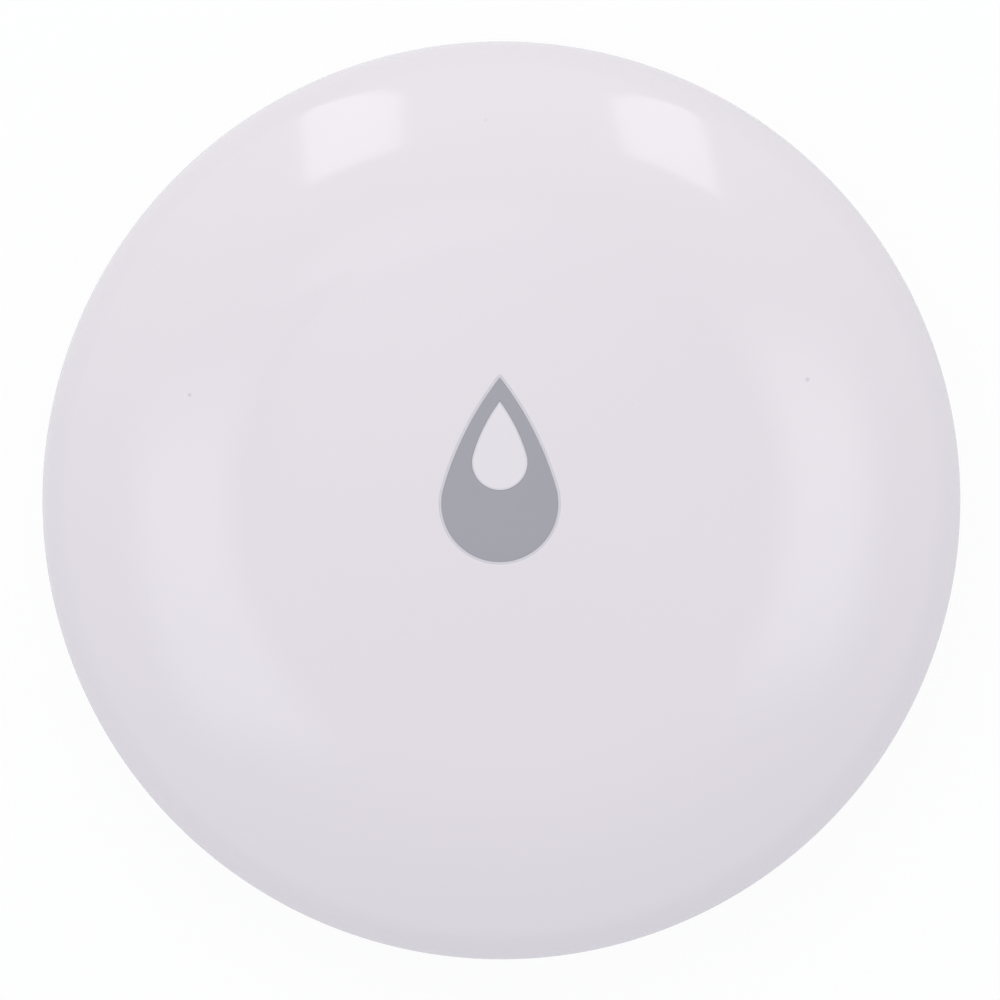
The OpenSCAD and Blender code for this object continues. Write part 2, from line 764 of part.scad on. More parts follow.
// Spring strip that presses on the side of the cell's can
module positive_contact() color([0.8, 0.78, 0.72]) {
    touch = cell_d / 2 + skin + leaf_t / 2;
    rotate(-90) leaf([
        [touch + leaf_lift + leaf_foot, board_z - leaf_t / 2], [touch + leaf_lift, board_z - leaf_t / 2],
        [touch, frame_z + leaf_lift], [touch + leaf_lift / 2, frame_z]
    ], frame_split - 1);
}

// Spring finger that presses on the middle of the cell's cap
module negative_contact() color([0.8, 0.78, 0.72]) {
    foot_share = 0.6;
    foot_x = -foot_share * cell_d / 2;
    leaf([
        [foot_x - leaf_foot, board_z - leaf_t / 2], [foot_x, board_z - leaf_t / 2],
        [0, cell_top + skin + leaf_t / 2], [leaf_tail, cell_top + leaf_t / 2 + leaf_lift / 2]
    ], cap_leaf_w);
}

// Round board, notched for the cover's long bosses
module circuit_board() color([0.1, 0.33, 0.2]) difference() {
    notch_r = case_boss_r + tip_gap;
    translate([0, 0, board_z]) cylinder(r = board_r, h = board_t);
    ring(foot_angles) translate([0, 0, board_z - past]) {
        cylinder(r = notch_r, h = case_h);
        translate([0, -notch_r, 0]) cube([case_r, 2 * notch_r, case_h]);
    }
    ring(board_screw_angles) cylinder(d = board_screw_d + 2 * hole_gap, h = case_h);
    for (angle = peg_angles) rotate(angle) translate([peg_r, 0, 0])
        cylinder(d = peg_d + hole_gap, h = case_h);
}

module radio_chip() color([0.12, 0.12, 0.13]) translate([chip_spot[0], chip_spot[1], board_top]) {
    dot_d = 0.7;
    dot_depth = 0.1;
    dot_edge = 0.9;
    dot_in = dot_edge - chip_side / 2;
    difference() {
        translate([-chip_side / 2, -chip_side / 2, 0]) cube([chip_side, chip_side, chip_h]);
        translate([dot_in, -dot_in, chip_h - dot_depth]) cylinder(d = dot_d, h = past);
    }
}

// Two crystals, each a ceramic tray under a metal lid
module crystals() color([0.78, 0.76, 0.7]) for (i = [0, 1]) translate([0, 0, board_top]) {
    lid_in = 0.15;
    size = crystal_sizes[i];
    translate(crystal_spots[i] - size / 2) {
        cube([size[0], size[1], crystal_h - lid_in]);
        translate([lid_in, lid_in, 0]) cube([size[0] - 2 * lid_in, size[1] - 2 * lid_in, crystal_h]);
    }
}

module chip_passives() color([0.6, 0.5, 0.4]) for (spot = passive_spots)
    translate([spot[0], spot[1], board_top]) rotate(spot[2])
    translate([-passive_l / 2, -passive_w / 2, 0]) cube([passive_l, passive_w, passive_h]);

// Folded copper track that serves as the aerial
module board_antenna() color([0.8, 0.55, 0.3]) translate([0, 0, board_top]) linear_extrude(track_t) {
    low = -fold_l / 2;
    high = fold_l / 2 - track_w;
    for (i = [0:fold_count - 1]) translate([fold_x + fold_pitch * i, low]) square([track_w, fold_l]);
    for (i = [0:fold_count - 2]) translate([fold_x + fold_pitch * i, i % 2 == 0 ? high : low])
        square([fold_pitch + track_w, track_w]);
    translate([fold_x - feed_l, low]) square([feed_l + track_w, track_w]);
}

module status_led() color([0.9, 0.9, 0.82]) translate([0, window_y, board_top]) {
    lens_share = 0.7;
    lens_l = lens_share * passive_l;
    translate([-passive_l / 2, -passive_w / 2, 0]) cube([passive_l, passive_w, led_h / 2]);
    translate([-lens_l / 2, -passive_w / 2, 0]) cube([lens_l, passive_w, led_h]);
}

// Push switch: tray, metal lid with two side tabs, snap dome and plunger
module switch_body() color([0.13, 0.13, 0.14]) translate([0, switch_y, board_top]) difference() {
    translate([-switch_l / 2, -switch_w / 2, 0]) cube([switch_l, switch_w, switch_h - lid_t]);
    translate([0, 0, switch_floor]) cylinder(r = well_r, h = switch_h);
}

module switch_frame() color([0.75, 0.76, 0.78]) translate([0, switch_y, switch_top - lid_t]) {
    tab_w = switch_w / 2;
    tab_h = switch_h / 2;
    difference() {
        translate([-switch_l / 2, -switch_w / 2, 0]) cube([switch_l, switch_w, lid_t]);
        translate([0, 0, -past]) cylinder(d = plunger_d + 2 * well_gap, h = 3 * past);
    }
    for (side = [-1, 1]) translate([side * (switch_l + lid_t) / 2, 0, lid_t - tab_h / 2])
        cube([lid_t, tab_w, tab_h], center = true);
}

module switch_dome() color([0.7, 0.71, 0.72]) translate([0, switch_y, board_top + switch_floor]) {
    top_r = plunger_d / 4;
    rim_r = well_r - well_gap / 2;
    rotate_extrude() polygon([
        [0, snap_h], [top_r, snap_h], [rim_r - snap_t, snap_t], [rim_r, snap_t], [rim_r, 0],
        [rim_r - 2 * snap_t, 0], [top_r - snap_t / 2, snap_h - snap_t], [0, snap_h - snap_t]
    ]);
}

module switch_plunger() color([0.55, 0.2, 0.15]) translate([0, switch_y, board_top + switch_floor + snap_h]) {
    cylinder(d = plunger_d, h = plunger_top - board_top - switch_floor - snap_h);
    cylinder(r = well_r - well_gap, h = switch_h - lid_t - skin - switch_floor - snap_h);
}

// Probes: a flat head under the base and a shank up to the board's spring
module water_probes() color([0.85, 0.7, 0.4]) ring(probe_angles) rotate_extrude() polygon([
    [0, probe_clear], [probe_head_d / 2 - bevel, probe_clear], [probe_head_d / 2, probe_clear + bevel],
    [probe_head_d / 2, probe_head_z], [probe_d / 2, probe_head_z], [probe_d / 2, probe_top - bevel],
    [probe_d / 2 - bevel, probe_top], [0, probe_top]
]);

module probe_seals() color([0.25, 0.25, 0.27]) ring(probe_angles) seal_ring(
    (probe_d + probe_head_d) / 4, probe_head_z + probe_seal_h / 2,
    (probe_head_d - probe_d) / 2 - 2 * skin, probe_seal_h - 2 * skin
);

module probe_nuts() color([0.78, 0.66, 0.4]) ring(probe_angles) translate([0, 0, nut_z]) difference() {
    cylinder(d = nut_flats / cos(30), h = nut_h, $fn = 6);
    translate([0, 0, -past]) cylinder(d = probe_d + 2 * skin, h = nut_h + 2 * past);
}

// Springs from the board to the ends of the probes
module probe_contacts() color([0.8, 0.78, 0.72]) for (angle = probe_angles) rotate(angle) leaf([
    [frame_out + bay_wall, board_z - leaf_t / 2], [frame_out + bay_wall + leaf_foot, board_z - leaf_t / 2],
    [ring_r, probe_top + skin + leaf_t / 2], [ring_r + leaf_tail, probe_top + leaf_t / 2 + leaf_lift]
], probe_leaf_w);

module case_screws() color([0.7, 0.71, 0.73]) ring(foot_angles) translate([0, 0, screw_seat_z])
    screw(screw_d, screw_l, screw_head_d, screw_head_h);

module board_screws() color([0.7, 0.71, 0.73]) ring(board_screw_angles) translate([0, 0, board_z])
    screw(board_screw_d, board_screw_l, board_head_d, board_head_h);

module feet() color([0.3, 0.3, 0.32]) ring(foot_angles) {
    cylinder(d1 = foot_d - 2 * bevel, d2 = foot_d, h = bevel);
    translate([0, 0, bevel]) cylinder(d = foot_d, h = foot_top - bevel);
}

top_cover();
drop_button();
light_window();
button_seal();
base();
case_seal();
battery_cover();
battery_cover_seal();
coin_cell_can();
coin_cell_gasket();
coin_cell_cap();
battery_frame();
positive_contact();
negative_contact();
circuit_board();
radio_chip();
crystals();
chip_passives();
board_antenna();
status_led();
switch_body();
switch_frame();
switch_dome();
switch_plunger();
water_probes();
probe_seals();
probe_nuts();
probe_contacts();
case_screws();
board_screws();
feet();
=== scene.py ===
import math

import bmesh
import bpy
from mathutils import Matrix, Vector


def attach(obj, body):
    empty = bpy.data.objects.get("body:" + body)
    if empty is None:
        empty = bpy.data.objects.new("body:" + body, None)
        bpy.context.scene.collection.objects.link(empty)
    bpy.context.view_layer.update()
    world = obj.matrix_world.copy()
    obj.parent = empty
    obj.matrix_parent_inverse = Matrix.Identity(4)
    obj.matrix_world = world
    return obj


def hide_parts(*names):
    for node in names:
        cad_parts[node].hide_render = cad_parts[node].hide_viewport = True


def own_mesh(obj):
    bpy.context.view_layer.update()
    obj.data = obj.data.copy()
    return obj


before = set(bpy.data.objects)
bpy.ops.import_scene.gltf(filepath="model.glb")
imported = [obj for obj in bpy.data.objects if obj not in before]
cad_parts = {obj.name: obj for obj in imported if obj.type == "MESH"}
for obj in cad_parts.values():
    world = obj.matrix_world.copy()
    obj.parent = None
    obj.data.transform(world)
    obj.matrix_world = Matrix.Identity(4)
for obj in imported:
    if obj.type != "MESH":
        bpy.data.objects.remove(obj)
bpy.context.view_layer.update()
scene = bpy.context.scene
mm = 0.001
around = 384  # points round a turned or lofted piece
weld = 0.0005 * mm  # points closer than this are one point
quarter = math.pi / 2
print("frame loaded:", len(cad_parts), "nodes")


# paths and loops, all in millimetres
def spread(start, stop, count):
    return [start + (stop - start) * i / (count - 1) for i in range(count)]


def rotated(x, y, angle):
    return x * math.cos(angle) - y * math.sin(angle), x * math.sin(angle) + y * math.cos(angle)


# arc in the (radius, height) half plane, angles from straight up towards the outside
def arcPath(x, z, radius, start, stop, count):
    return [(x + radius * math.sin(a), z + radius * math.cos(a)) for a in spread(start, stop, count)]


# distances from the two sides of an edge, along its rounding
def quarterRound(soft, count):
    return [(soft * (1 - math.cos(a)), soft * (1 - math.sin(a))) for a in spread(0, quarter, count)]


# rounds the corners of a path; each corner is (radius, height, softness)
def softPath(corners, closed=False, steps=6):
    path = []
    count = len(corners)
    most = 0.48  # share of a side that one corner may take
    for i, (x, z, soft) in enumerate(corners):
        here = Vector((x, z))
        if soft <= 0 or (not closed and i in (0, count - 1)):
            path.append((x, z))
            continue
        before = Vector(corners[i - 1][:2]) - here
        after = Vector(corners[(i + 1) % count][:2]) - here
        half = before.angle(after) / 2
        reach = min(soft / math.tan(half), most * before.length, most * after.length)
        radius = reach * math.tan(half)
        first, last = before.normalized(), after.normalized()
        centre = here + (first + last).normalized() * radius / math.sin(half)
        start, stop = here + first * reach - centre, here + last * reach - centre
        sweep = start.angle_signed(stop)
        for t in spread(0, 1, steps):
            across, up = rotated(*start, -sweep * t)
            path.append((centre.x + across, centre.y + up))
    return path


# half section of a plain pin, with the softness of its lower and upper edge
def pinPath(radius, low, top, lowSoft=0, topSoft=0, steps=6):
    return softPath([(0, low, 0), (radius, low, lowSoft), (radius, top, topSoft), (0, top, 0)], steps=steps)


def circleLoop(radius, z, at=(0.0, 0.0), count=around):
    if radius < 1e-6:
        return [(*at, z)]
    points = [rotated(radius, 0, 2 * math.pi * i / count) for i in range(count)]
    return [(at[0] + x, at[1] + y, z) for x, y in points]


# skin over loops of equal length; a loop of one point is a pole
def addSkin(bm, loops, closed=False, caps=False):
    rings = [[bm.verts.new(Vector(p) * mm) for p in loop] for loop in loops]
    pairs = list(zip(rings, rings[1:]))
    if closed:
        pairs.append((rings[-1], rings[0]))
    for low, high in pairs:
        count = max(len(low), len(high))
        for i in range(count):
            k = (i + 1) % count
            corners = [low[i % len(low)], low[k % len(low)], high[k % len(high)], high[i % len(high)]]
            corners = list(dict.fromkeys(corners))
            if len(corners) > 2:
                bm.faces.new(corners)
    if caps:
        bm.faces.new(rings[0])
        bm.faces.new(rings[-1])
    return rings


def addTurned(bm, path, at=(0.0, 0.0), count=around, closed=False):
    addSkin(bm, [circleLoop(r, z, at, count) for r, z in path], closed)


# prism from a flat outline between two heights
def addPrism(bm, outline, low, high):
    addSkin(bm, [[(x, y, z) for x, y in outline] for z in (low, high)], caps=True)


def boxOutline(length, width):
    return [(-length, -width), (length, -width), (length, width), (-length, width)]


# number on each point of some rings, for the material to read
def markPoints(bm, label, rings, value):
    layer = bm.verts.layers.float.get(label)
    for vert in (v for ring in rings for v in ring):
        vert[layer] = value


# pieces
def makePiece(name, build):
    bm = bmesh.new()
    build(bm)
    bmesh.ops.recalc_face_normals(bm, faces=bm.faces)
    mesh = bpy.data.meshes.new(name)
    bm.to_mesh(mesh)
    bm.free()
    piece = bpy.data.objects.new(name, mesh)
    scene.collection.objects.link(piece)
    return piece


# joins or cuts a piece with a tool, then throws the tool away
def shapeWith(piece, tool, how):
    step = piece.modifiers.new("shape", "BOOLEAN")
    step.operation = how
    step.solver = "EXACT"
    step.object = tool
    graph = bpy.context.evaluated_depsgraph_get()
    done = bpy.data.meshes.new_from_object(piece.evaluated_get(graph))
    piece.modifiers.clear()
    bm = bmesh.new()
    bm.from_mesh(done)
    bmesh.ops.remove_doubles(bm, verts=bm.verts, dist=weld)
    bmesh.ops.dissolve_degenerate(bm, edges=bm.edges, dist=weld)
    bm.to_mesh(done)
    bm.free()
    old, toolMesh = piece.data, tool.data
    piece.data = done
    done.name = piece.name
    bpy.data.objects.remove(tool)
    bpy.data.meshes.remove(old)
    bpy.data.meshes.remove(toolMesh)


# piece with its tools, material and body, and the node that it stands for
def addPiece(name, build, material, body, node, tools=(), sharpAngle=32):
    piece = makePiece(name, build)
    for tool, how in tools:
        shapeWith(piece, makePiece("tool", tool), how)
    mesh = piece.data
    mesh.polygons.foreach_set("use_smooth", [True] * len(mesh.polygons))
    mesh.set_sharp_from_angle(angle=math.radians(sharpAngle))
    mesh.materials.clear()
    mesh.materials.append(material)
    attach(piece, body)
    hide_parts(node)
    print(name + ":", len(mesh.polygons), "faces")
    return piece


# shader nodes
def addNode(tree, kind, **values):
    node = tree.nodes.new("ShaderNode" + kind)
    for key, value in values.items():
        setattr(node, key, value)
    return node


# gives a socket a value, or a link from another socket
def feed(value, socket):
    if isinstance(value, bpy.types.NodeSocket):
        socket.id_data.links.new(value, socket)
    else:
        socket.default_value = value


# arithmetic on sockets and numbers, in the tree of its first socket
def calc(operation, *values, clamp=False):
    tree = next(v.id_data for v in values if isinstance(v, bpy.types.NodeSocket))
    node = addNode(tree, "Math", operation=operation, use_clamp=clamp)
    for value, socket in zip(values, node.inputs):
        feed(value, socket)
    return node.outputs[0]


def reachOf(x, y):
    return calc("SQRT", calc("MULTIPLY_ADD", x, x, calc("MULTIPLY", y, y)))


def place(tree, kind="Object"):
    return addNode(tree, "TexCoord").outputs[kind]


def split(vector):
    node = addNode(vector.id_data, "SeparateXYZ")
    feed(vector, node.inputs[0])
    return node.outputs


def noiseNode(tree, scale, detail=2.0, rough=0.5, vector=None):
    node = addNode(tree, "TexNoise")
    feed(scale, node.inputs["Scale"])
    feed(detail, node.inputs["Detail"])
    feed(rough, node.inputs["Roughness"])
    feed(place(tree) if vector is None else vector, node.inputs["Vector"])
    return node.outputs["Fac"]


# a colour is a socket or three numbers
def mixColours(mask, *colours):
    mix = addNode(mask.id_data, "Mix", data_type="RGBA")
    feed(mask, mix.inputs["Factor"])
    for label, colour in zip("AB", colours):
        feed((*colour, 1) if isinstance(colour, tuple) else colour, mix.inputs[label])
    return mix.outputs["Result"]


def mixShaders(share, first, second):
    mix = addNode(share.id_data, "MixShader")
    for value, socket in zip((share, first, second), mix.inputs):
        feed(value, socket)
    return mix.outputs[0]


# shader groups that several finishes share; only their sockets called Colour hold colours
def makeGroup(name, inputs, outputs):
    group = bpy.data.node_groups.new(name, "ShaderNodeTree")
    kinds = {"Colour": "NodeSocketColor"}
    for label, start in inputs.items():
        kind = kinds.get(label, "NodeSocketFloat")
        socket = group.interface.new_socket(label, in_out="INPUT", socket_type=kind)
        socket.default_value = start
    for label in outputs:
        kind = kinds.get(label, "NodeSocketFloat")
        group.interface.new_socket(label, in_out="OUTPUT", socket_type=kind)
    return group, group.nodes.new("NodeGroupInput").outputs, group.nodes.new("NodeGroupOutput").inputs


# colour drift, uneven gloss and fine grain of a moulded, cast or drawn surface
def buildSkin():
    tree, given, out = makeGroup("mouldedSkin", {
        "Colour": (0.8, 0.8, 0.8, 1), "Drift": 0.01, "Gloss": 0.2, "Uneven": 0.05,
        "Grain Scale": 9000.0, "Cloud Scale": 90.0,
    }, ("Colour", "Roughness", "Height"))
    cloud = noiseNode(tree, given["Cloud Scale"], 3.0)
    swing = calc("MULTIPLY", calc("SUBTRACT", cloud, 0.5), given["Drift"])
    tint = addNode(tree, "VectorMath", operation="SCALE")
    feed(given["Colour"], tint.inputs[0])
    feed(calc("MULTIPLY_ADD", swing, 2.0, 1.0), tint.inputs["Scale"])
    feed(tint.outputs[0], out["Colour"])
    finer = 3.7  # the gloss changes in smaller patches than the colour
    patch = noiseNode(tree, calc("MULTIPLY", given["Cloud Scale"], finer), 4.0)
    gloss = calc("MULTIPLY", calc("SUBTRACT", patch, 0.5), given["Uneven"])
    feed(calc("ADD", gloss, given["Gloss"], clamp=True), out["Roughness"])
    feed(noiseNode(tree, given["Grain Scale"]), out["Height"])
    return tree


# dust specks and hairline scratches from handling
def buildMarks():
    tree, given, out = makeGroup("handlingMarks", {
        "Speck Scale": 160.0, "Speck Size": 0.03, "Scratch Scale": 130.0, "Scratch Width": 0.012,
    }, ("Specks", "Scratches"))
    rare, crisp = 6.0, 140.0  # few cells hold a large speck, and its edge is sharp
    stretch, bare = 0.06, 0.62  # scratches are long, and most of the surface has none
    spot = place(tree)
    cells = addNode(tree, "TexVoronoi", voronoi_dimensions="2D")
    feed(spot, cells.inputs["Vector"])
    feed(given["Speck Scale"], cells.inputs["Scale"])
    pick = addNode(tree, "SeparateColor")
    feed(cells.outputs["Color"], pick.inputs[0])
    size = calc("MULTIPLY", calc("POWER", pick.outputs[0], rare), given["Speck Size"])
    near = calc("SUBTRACT", size, cells.outputs["Distance"])
    feed(calc("MULTIPLY", near, crisp, clamp=True), out["Specks"])
    lines = []
    for turn, shift, patchScale in ((0.5, 0.0, 140.0), (2.1, 7.3, 359.0)):
        lay = addNode(tree, "Mapping")
        feed(spot, lay.inputs["Vector"])
        feed((shift, shift, 0.0), lay.inputs["Location"])
        feed((0.0, 0.0, turn), lay.inputs["Rotation"])
        feed((stretch, 1.0, 1.0), lay.inputs["Scale"])
        streak = noiseNode(tree, given["Scratch Scale"], 5.0, 0.7, lay.outputs[0])
        off = calc("ABSOLUTE", calc("SUBTRACT", streak, 0.5))
        line = calc("LESS_THAN", off, given["Scratch Width"])
        where = calc("GREATER_THAN", noiseNode(tree, patchScale, 1.0), bare)
        lines.append(calc("MULTIPLY", line, where))
    feed(calc("MAXIMUM", *lines), out["Scratches"])
    return tree


# rings left by turning, about axes that stand at a given place either side of the middle
def buildTurning():
    tree, given, out = makeGroup(
        "turnedRings", {"Place": 0.0, "Pitch": 20000.0, "Depth": 0.5}, ("Height", "Sheen"),
    )
    x, y, _ = split(place(tree))
    x = calc("SUBTRACT", calc("ABSOLUTE", x), given["Place"])
    wobble = calc("MULTIPLY", noiseNode(tree, 2500.0), 1.5)  # keeps the rings from being perfect
    phase = calc("MULTIPLY_ADD", reachOf(x, y), given["Pitch"], wobble)
    ring = calc("MULTIPLY_ADD", calc("SINE", phase), 0.5, 0.5)
    feed(calc("MULTIPLY", ring, given["Depth"]), out["Height"])
    feed(ring, out["Sheen"])
    return tree


# painted shade on the floors of recessed marks: faces that look straight down, close to a given height, are
# darkened
def buildRecessShade():
    tree, given, out = makeGroup("recessPaintedShade", {"Floor": 0.0, "Reach": 0.00004}, ("Shade",))
    straight = -0.995  # the normal's height on a face that looks down
    height, facing = split(place(tree))[2], split(place(tree, "Normal"))[2]
    off = calc("ABSOLUTE", calc("SUBTRACT", height, given["Floor"]))
    near = calc("LESS_THAN", off, given["Reach"])
    near = calc("MULTIPLY", near, calc("LESS_THAN", facing, straight))
    patchy = calc("MULTIPLY_ADD", noiseNode(tree, 3000.0, 3.0), 0.4, 0.7, clamp=True)  # the painted shade is lighter in places
    feed(calc("MULTIPLY", near, patchy), out["Shade"])
    return tree


skinGroup = buildSkin()
marksGroup = buildMarks()
turningGroup = buildTurning()
recessShadeGroup = buildRecessShade()


def placeGroup(tree, group, **values):
    node = addNode(tree, "Group", node_tree=group)
    for key, value in values.items():
        feed(value, node.inputs[key])
    return node.outputs


def newFinish(name, **plain):
    material = bpy.data.materials.new(name)
    material.use_nodes = True
    tree = material.node_tree
    shader = tree.nodes["Principled BSDF"]
    for key, value in plain.items():
        feed(value, shader.inputs[key])
    return material, tree, shader


# finish without the usual shader, with the socket of its surface
def bareFinish(name):
    material, tree, shader = newFinish(name)
    tree.nodes.remove(shader)
    return material, tree, tree.nodes["Material Output"].inputs["Surface"]


def addBump(tree, shader, height, strength, distance):
    bump = addNode(tree, "Bump")
    feed(strength, bump.inputs["Strength"])
    feed(distance, bump.inputs["Distance"])
    feed(height, bump.inputs["Height"])
    feed(bump.outputs[0], shader.inputs["Normal"])


# plastic, rubber, coating or metal: one skin, and the marks, painted shade in recesses, rings and second
# colour of its look, which is bare metal or a rim's painted shade
def makeFinish(name, look):
    material, tree, shader = newFinish(name, **look.get("plain", {}))
    skin = placeGroup(tree, skinGroup, **{
        "Colour": (*look["colour"], 1), "Drift": look["drift"], "Gloss": look["gloss"],
        "Uneven": look["uneven"], "Grain Scale": look["grainScale"], "Cloud Scale": look["cloudScale"],
    })
    colour, rough, height = skin
    if "marks" in look:
        marks = placeGroup(tree, marksGroup, **look["marks"])
        colour = mixColours(marks["Specks"], colour, look["speckColour"])
        rough = calc("MULTIPLY_ADD", marks["Scratches"], look["scratchRough"], rough)
    # painted shade: the floors of recessed marks are darkened
    if "shadeFloor" in look:
        recessShade = placeGroup(tree, recessShadeGroup, Floor=look["shadeFloor"] * mm)
        colour = mixColours(recessShade["Shade"], colour, look["shadeColour"])
    if "rings" in look:
        rings = placeGroup(tree, turningGroup, **look["rings"])
        rough = calc("MULTIPLY_ADD", rings["Sheen"], look["ringRough"], rough)
        height = calc("ADD", rings["Height"], height)
    for label in ("metal", "rim"):  # the mesh says where it is bare metal, or the rim that gets painted shade
        if label in look:
            share = addNode(tree, "Attribute", attribute_name=label + "Share").outputs["Fac"]
            colour = mixColours(share, colour, look[label])
            if label == "metal":
                feed(share, shader.inputs["Metallic"])
    feed(colour, shader.inputs["Base Color"])
    feed(rough, shader.inputs["Roughness"])
    addBump(tree, shader, height, look["grain"], look["grainDepth"])
    return material


# case: dome, base and the seam between them
caseShape = {
    "radius": 25.0, "rim": 6.0, "reveal": 0.3, "seamSoft": 0.06,
    "wall": 1.6, "rimWall": 1.4, "socketTop": 8.2,
    "crown": (0.0, -165.776, 180.776), "shoulder": (12.324, -3.744, 18.276), "edge": (20.724, 7.456, 4.276),
    "crownLean": math.asin(0.07584), "edgeLean": math.asin(0.6), "ringRadius": 17.875,
    "footTurns": (45, 135, 225, 315), "probeTurns": (0, 180), "boardScrewTurns": (90, 270),
}


def crownHeight(x, y):
    _, low, radius = caseShape["crown"]
    return low + math.sqrt(radius ** 2 - x * x - y * y)


# dome's half section from a radius on the crown down to its widest height
def domePath(inset, start):
    crown, shoulder, edge = caseShape["crown"], caseShape["shoulder"], caseShape["edge"]
    lean, drop = caseShape["crownLean"], caseShape["edgeLean"]
    first = math.asin(start / (crown[2] - inset))
    path = arcPath(crown[0], crown[1], crown[2] - inset, first, lean, 5)
    path += arcPath(shoulder[0], shoulder[1], shoulder[2] - inset, lean, drop, 40)[1:]
    path += arcPath(edge[0], edge[1], edge[2] - inset, drop, quarter, 30)[1:]
    return path


def ringPlaces(turns, radius=caseShape["ringRadius"]):
    return [rotated(radius, 0, math.radians(a)) for a in turns]


# the same turned shape at each of several places round the case
def addTurnedSet(bm, path, turns, count):
    for at in ringPlaces(caseShape[turns]):
        addTurned(bm, path, at, count)


# drop outlines
dropShape = {
    "eye": (0.0, 2.4), "lean": (0.96, 0.28),
    "key": {"foot": (0.0, -0.175), "radius": 3.165, "side": 14.6},
    "window": {"foot": (0.0, 2.055), "radius": 1.52, "side": 7.4},
    "gap": 0.125, "skin": 0.004,  # clearance of the key from the cover, and from the lip and the window
    "coverSoft": 0.012, "keySoft": 0.008, "holeSoft": 0.006, "windowSoft": 0.03,
    "windowShadeRim": 0.14,  # width of the window's rim, greyed as painted shade from the grey key round it
    "crowd": 0.6,  # share by which the points of an outline crowd towards its tip
}


def dropTurns():
    steps = [2 * math.pi * i / around for i in range(around)]
    return [quarter + s - dropShape["crowd"] * math.sin(s) for s in steps]


# where a ray from the eye leaves a drop that is grown all round, with a round tip
def dropPoint(drop, grow, angle):
    eye, lean = Vector(dropShape["eye"]), dropShape["lean"]
    foot, radius, side = Vector(drop["foot"]), drop["radius"] + grow, drop["side"]
    ray = Vector((math.cos(angle), math.sin(angle)))
    flip = 1 if ray.x >= -1e-9 else -1

    def leave(centre, reach):
        off = eye - centre
        along = off.dot(ray)
        return eye + ray * (-along + math.sqrt(along * along - off.dot(off) + reach * reach))

    point = leave(foot, radius)
    if (point.y - foot.y) * lean[0] > lean[1] * abs(point.x - foot.x):
        middle = foot + Vector((-flip * lean[0], -lean[1])) * side
        point = leave(middle, radius + side)
        rise = math.sqrt((drop["radius"] + side) ** 2 - middle.x ** 2)
        tip = Vector((0, middle.y + rise))
        if grow > 0 and (point.y - tip.y) * abs(middle.x) > abs(point.x) * rise:
            point = leave(tip, grow)
    return point


def dropLoop(drop, grow, height):
    points = [dropPoint(drop, grow, a) for a in dropTurns()]
    return [(p.x, p.y, height(p.x, p.y)) for p in points]


# circle with its points at the same turns as a drop's
def roundLoop(radius, z):
    return [(*rotated(radius, 0, a), z) for a in dropTurns()]


def levelAt(z):
    return lambda x, y: z


def crownAt(drop):
    return lambda x, y: crownHeight(x, y) - drop


def mixLoops(first, second, share, height):
    points = [(a[0] + (b[0] - a[0]) * share, a[1] + (b[1] - a[1]) * share) for a, b in zip(first, second)]
    return [(x, y, height(x, y)) for x, y in points]


coverLook = {
    "colour": (0.759, 0.705, 0.735), "drift": 0.006, "gloss": 0.1, "uneven": 0.03, "grain": 0.06,
    "grainDepth": 0.00002, "grainScale": 900.0, "cloudScale": 70.0,
    "marks": {"Speck Scale": 120.0, "Speck Size": 0.018, "Scratch Scale": 90.0, "Scratch Width": 0.002},
    "speckColour": (0.62, 0.6, 0.64), "scratchRough": 0.03,
    "plain": {"IOR": 1.5},
}
coverSizes = {
    "padHeight": 12.9, "padRadius": 9.0, "joinRadius": 12.0, "socketSoft": 0.1,
    "wallTop": 0.6,  # how far below the crown the opening's wall has a ring of points
    "rings": (0.15, 0.35, 0.65, 1.1, 1.7), "lastRing": 2.0,  # distances of the rings round the opening
    # radius, foot, bore and end of the bore
    "caseBoss": (2.2, 6.3, 0.97, 10.9), "boardBoss": (1.8, 8.8, 0.77, 11.6),
    "bossTop": 12.6, "bossSoft": 0.15,
}


def buildCover(bm):
    s, case = coverSizes, caseShape
    key, gap, soft = dropShape["key"], dropShape["gap"], dropShape["coverSoft"]
    level, crown = levelAt(s["padHeight"]), crownAt(0)
    loops = [dropLoop(key, gap, level), dropLoop(key, gap, crownAt(s["wallTop"]))]
    loops += [dropLoop(key, gap + out, crownAt(down)) for out, down in quarterRound(soft, 6)]
    loops += [dropLoop(key, gap + soft + grow, crown) for grow in s["rings"]]
    inner, outer = dropLoop(key, s["lastRing"], crown), roundLoop(s["joinRadius"], 0)
    loops += [mixLoops(inner, outer, t, crown) for t in spread(0.12, 1, 9)]
    rim, widest, reveal, seamSoft = case["rim"], case["radius"], case["reveal"], case["seamSoft"]
    socket = widest - case["rimWall"]
    outside = domePath(0, s["joinRadius"])[1:]
    seam = softPath([
        (*outside[-1], 0), (widest, rim + reveal, seamSoft), (widest - reveal, rim, seamSoft),
        (socket, rim, s["socketSoft"]), (socket, case["socketTop"], 0),
    ])[1:]
    inside = [p for p in reversed(domePath(case["wall"], s["padRadius"])) if p[1] > case["socketTop"]]
    pad = (s["padRadius"], s["padHeight"])
    loops += [roundLoop(r, z) for r, z in outside + seam + inside + [pad]]
    loops += [mixLoops(loops[0], roundLoop(*pad), t, level) for t in (0.66, 0.33)]
    addSkin(bm, loops, closed=True)


# sizes and place of each boss in turn
def bossPlaces():
    for size, turns in (("caseBoss", "footTurns"), ("boardBoss", "boardScrewTurns")):
        for at in ringPlaces(caseShape[turns]):
            yield (*coverSizes[size], at)


def buildBosses(bm):
    for radius, foot, _, _, at in bossPlaces():
        addTurned(bm, pinPath(radius, foot, coverSizes["bossTop"], coverSizes["bossSoft"]), at, 48)


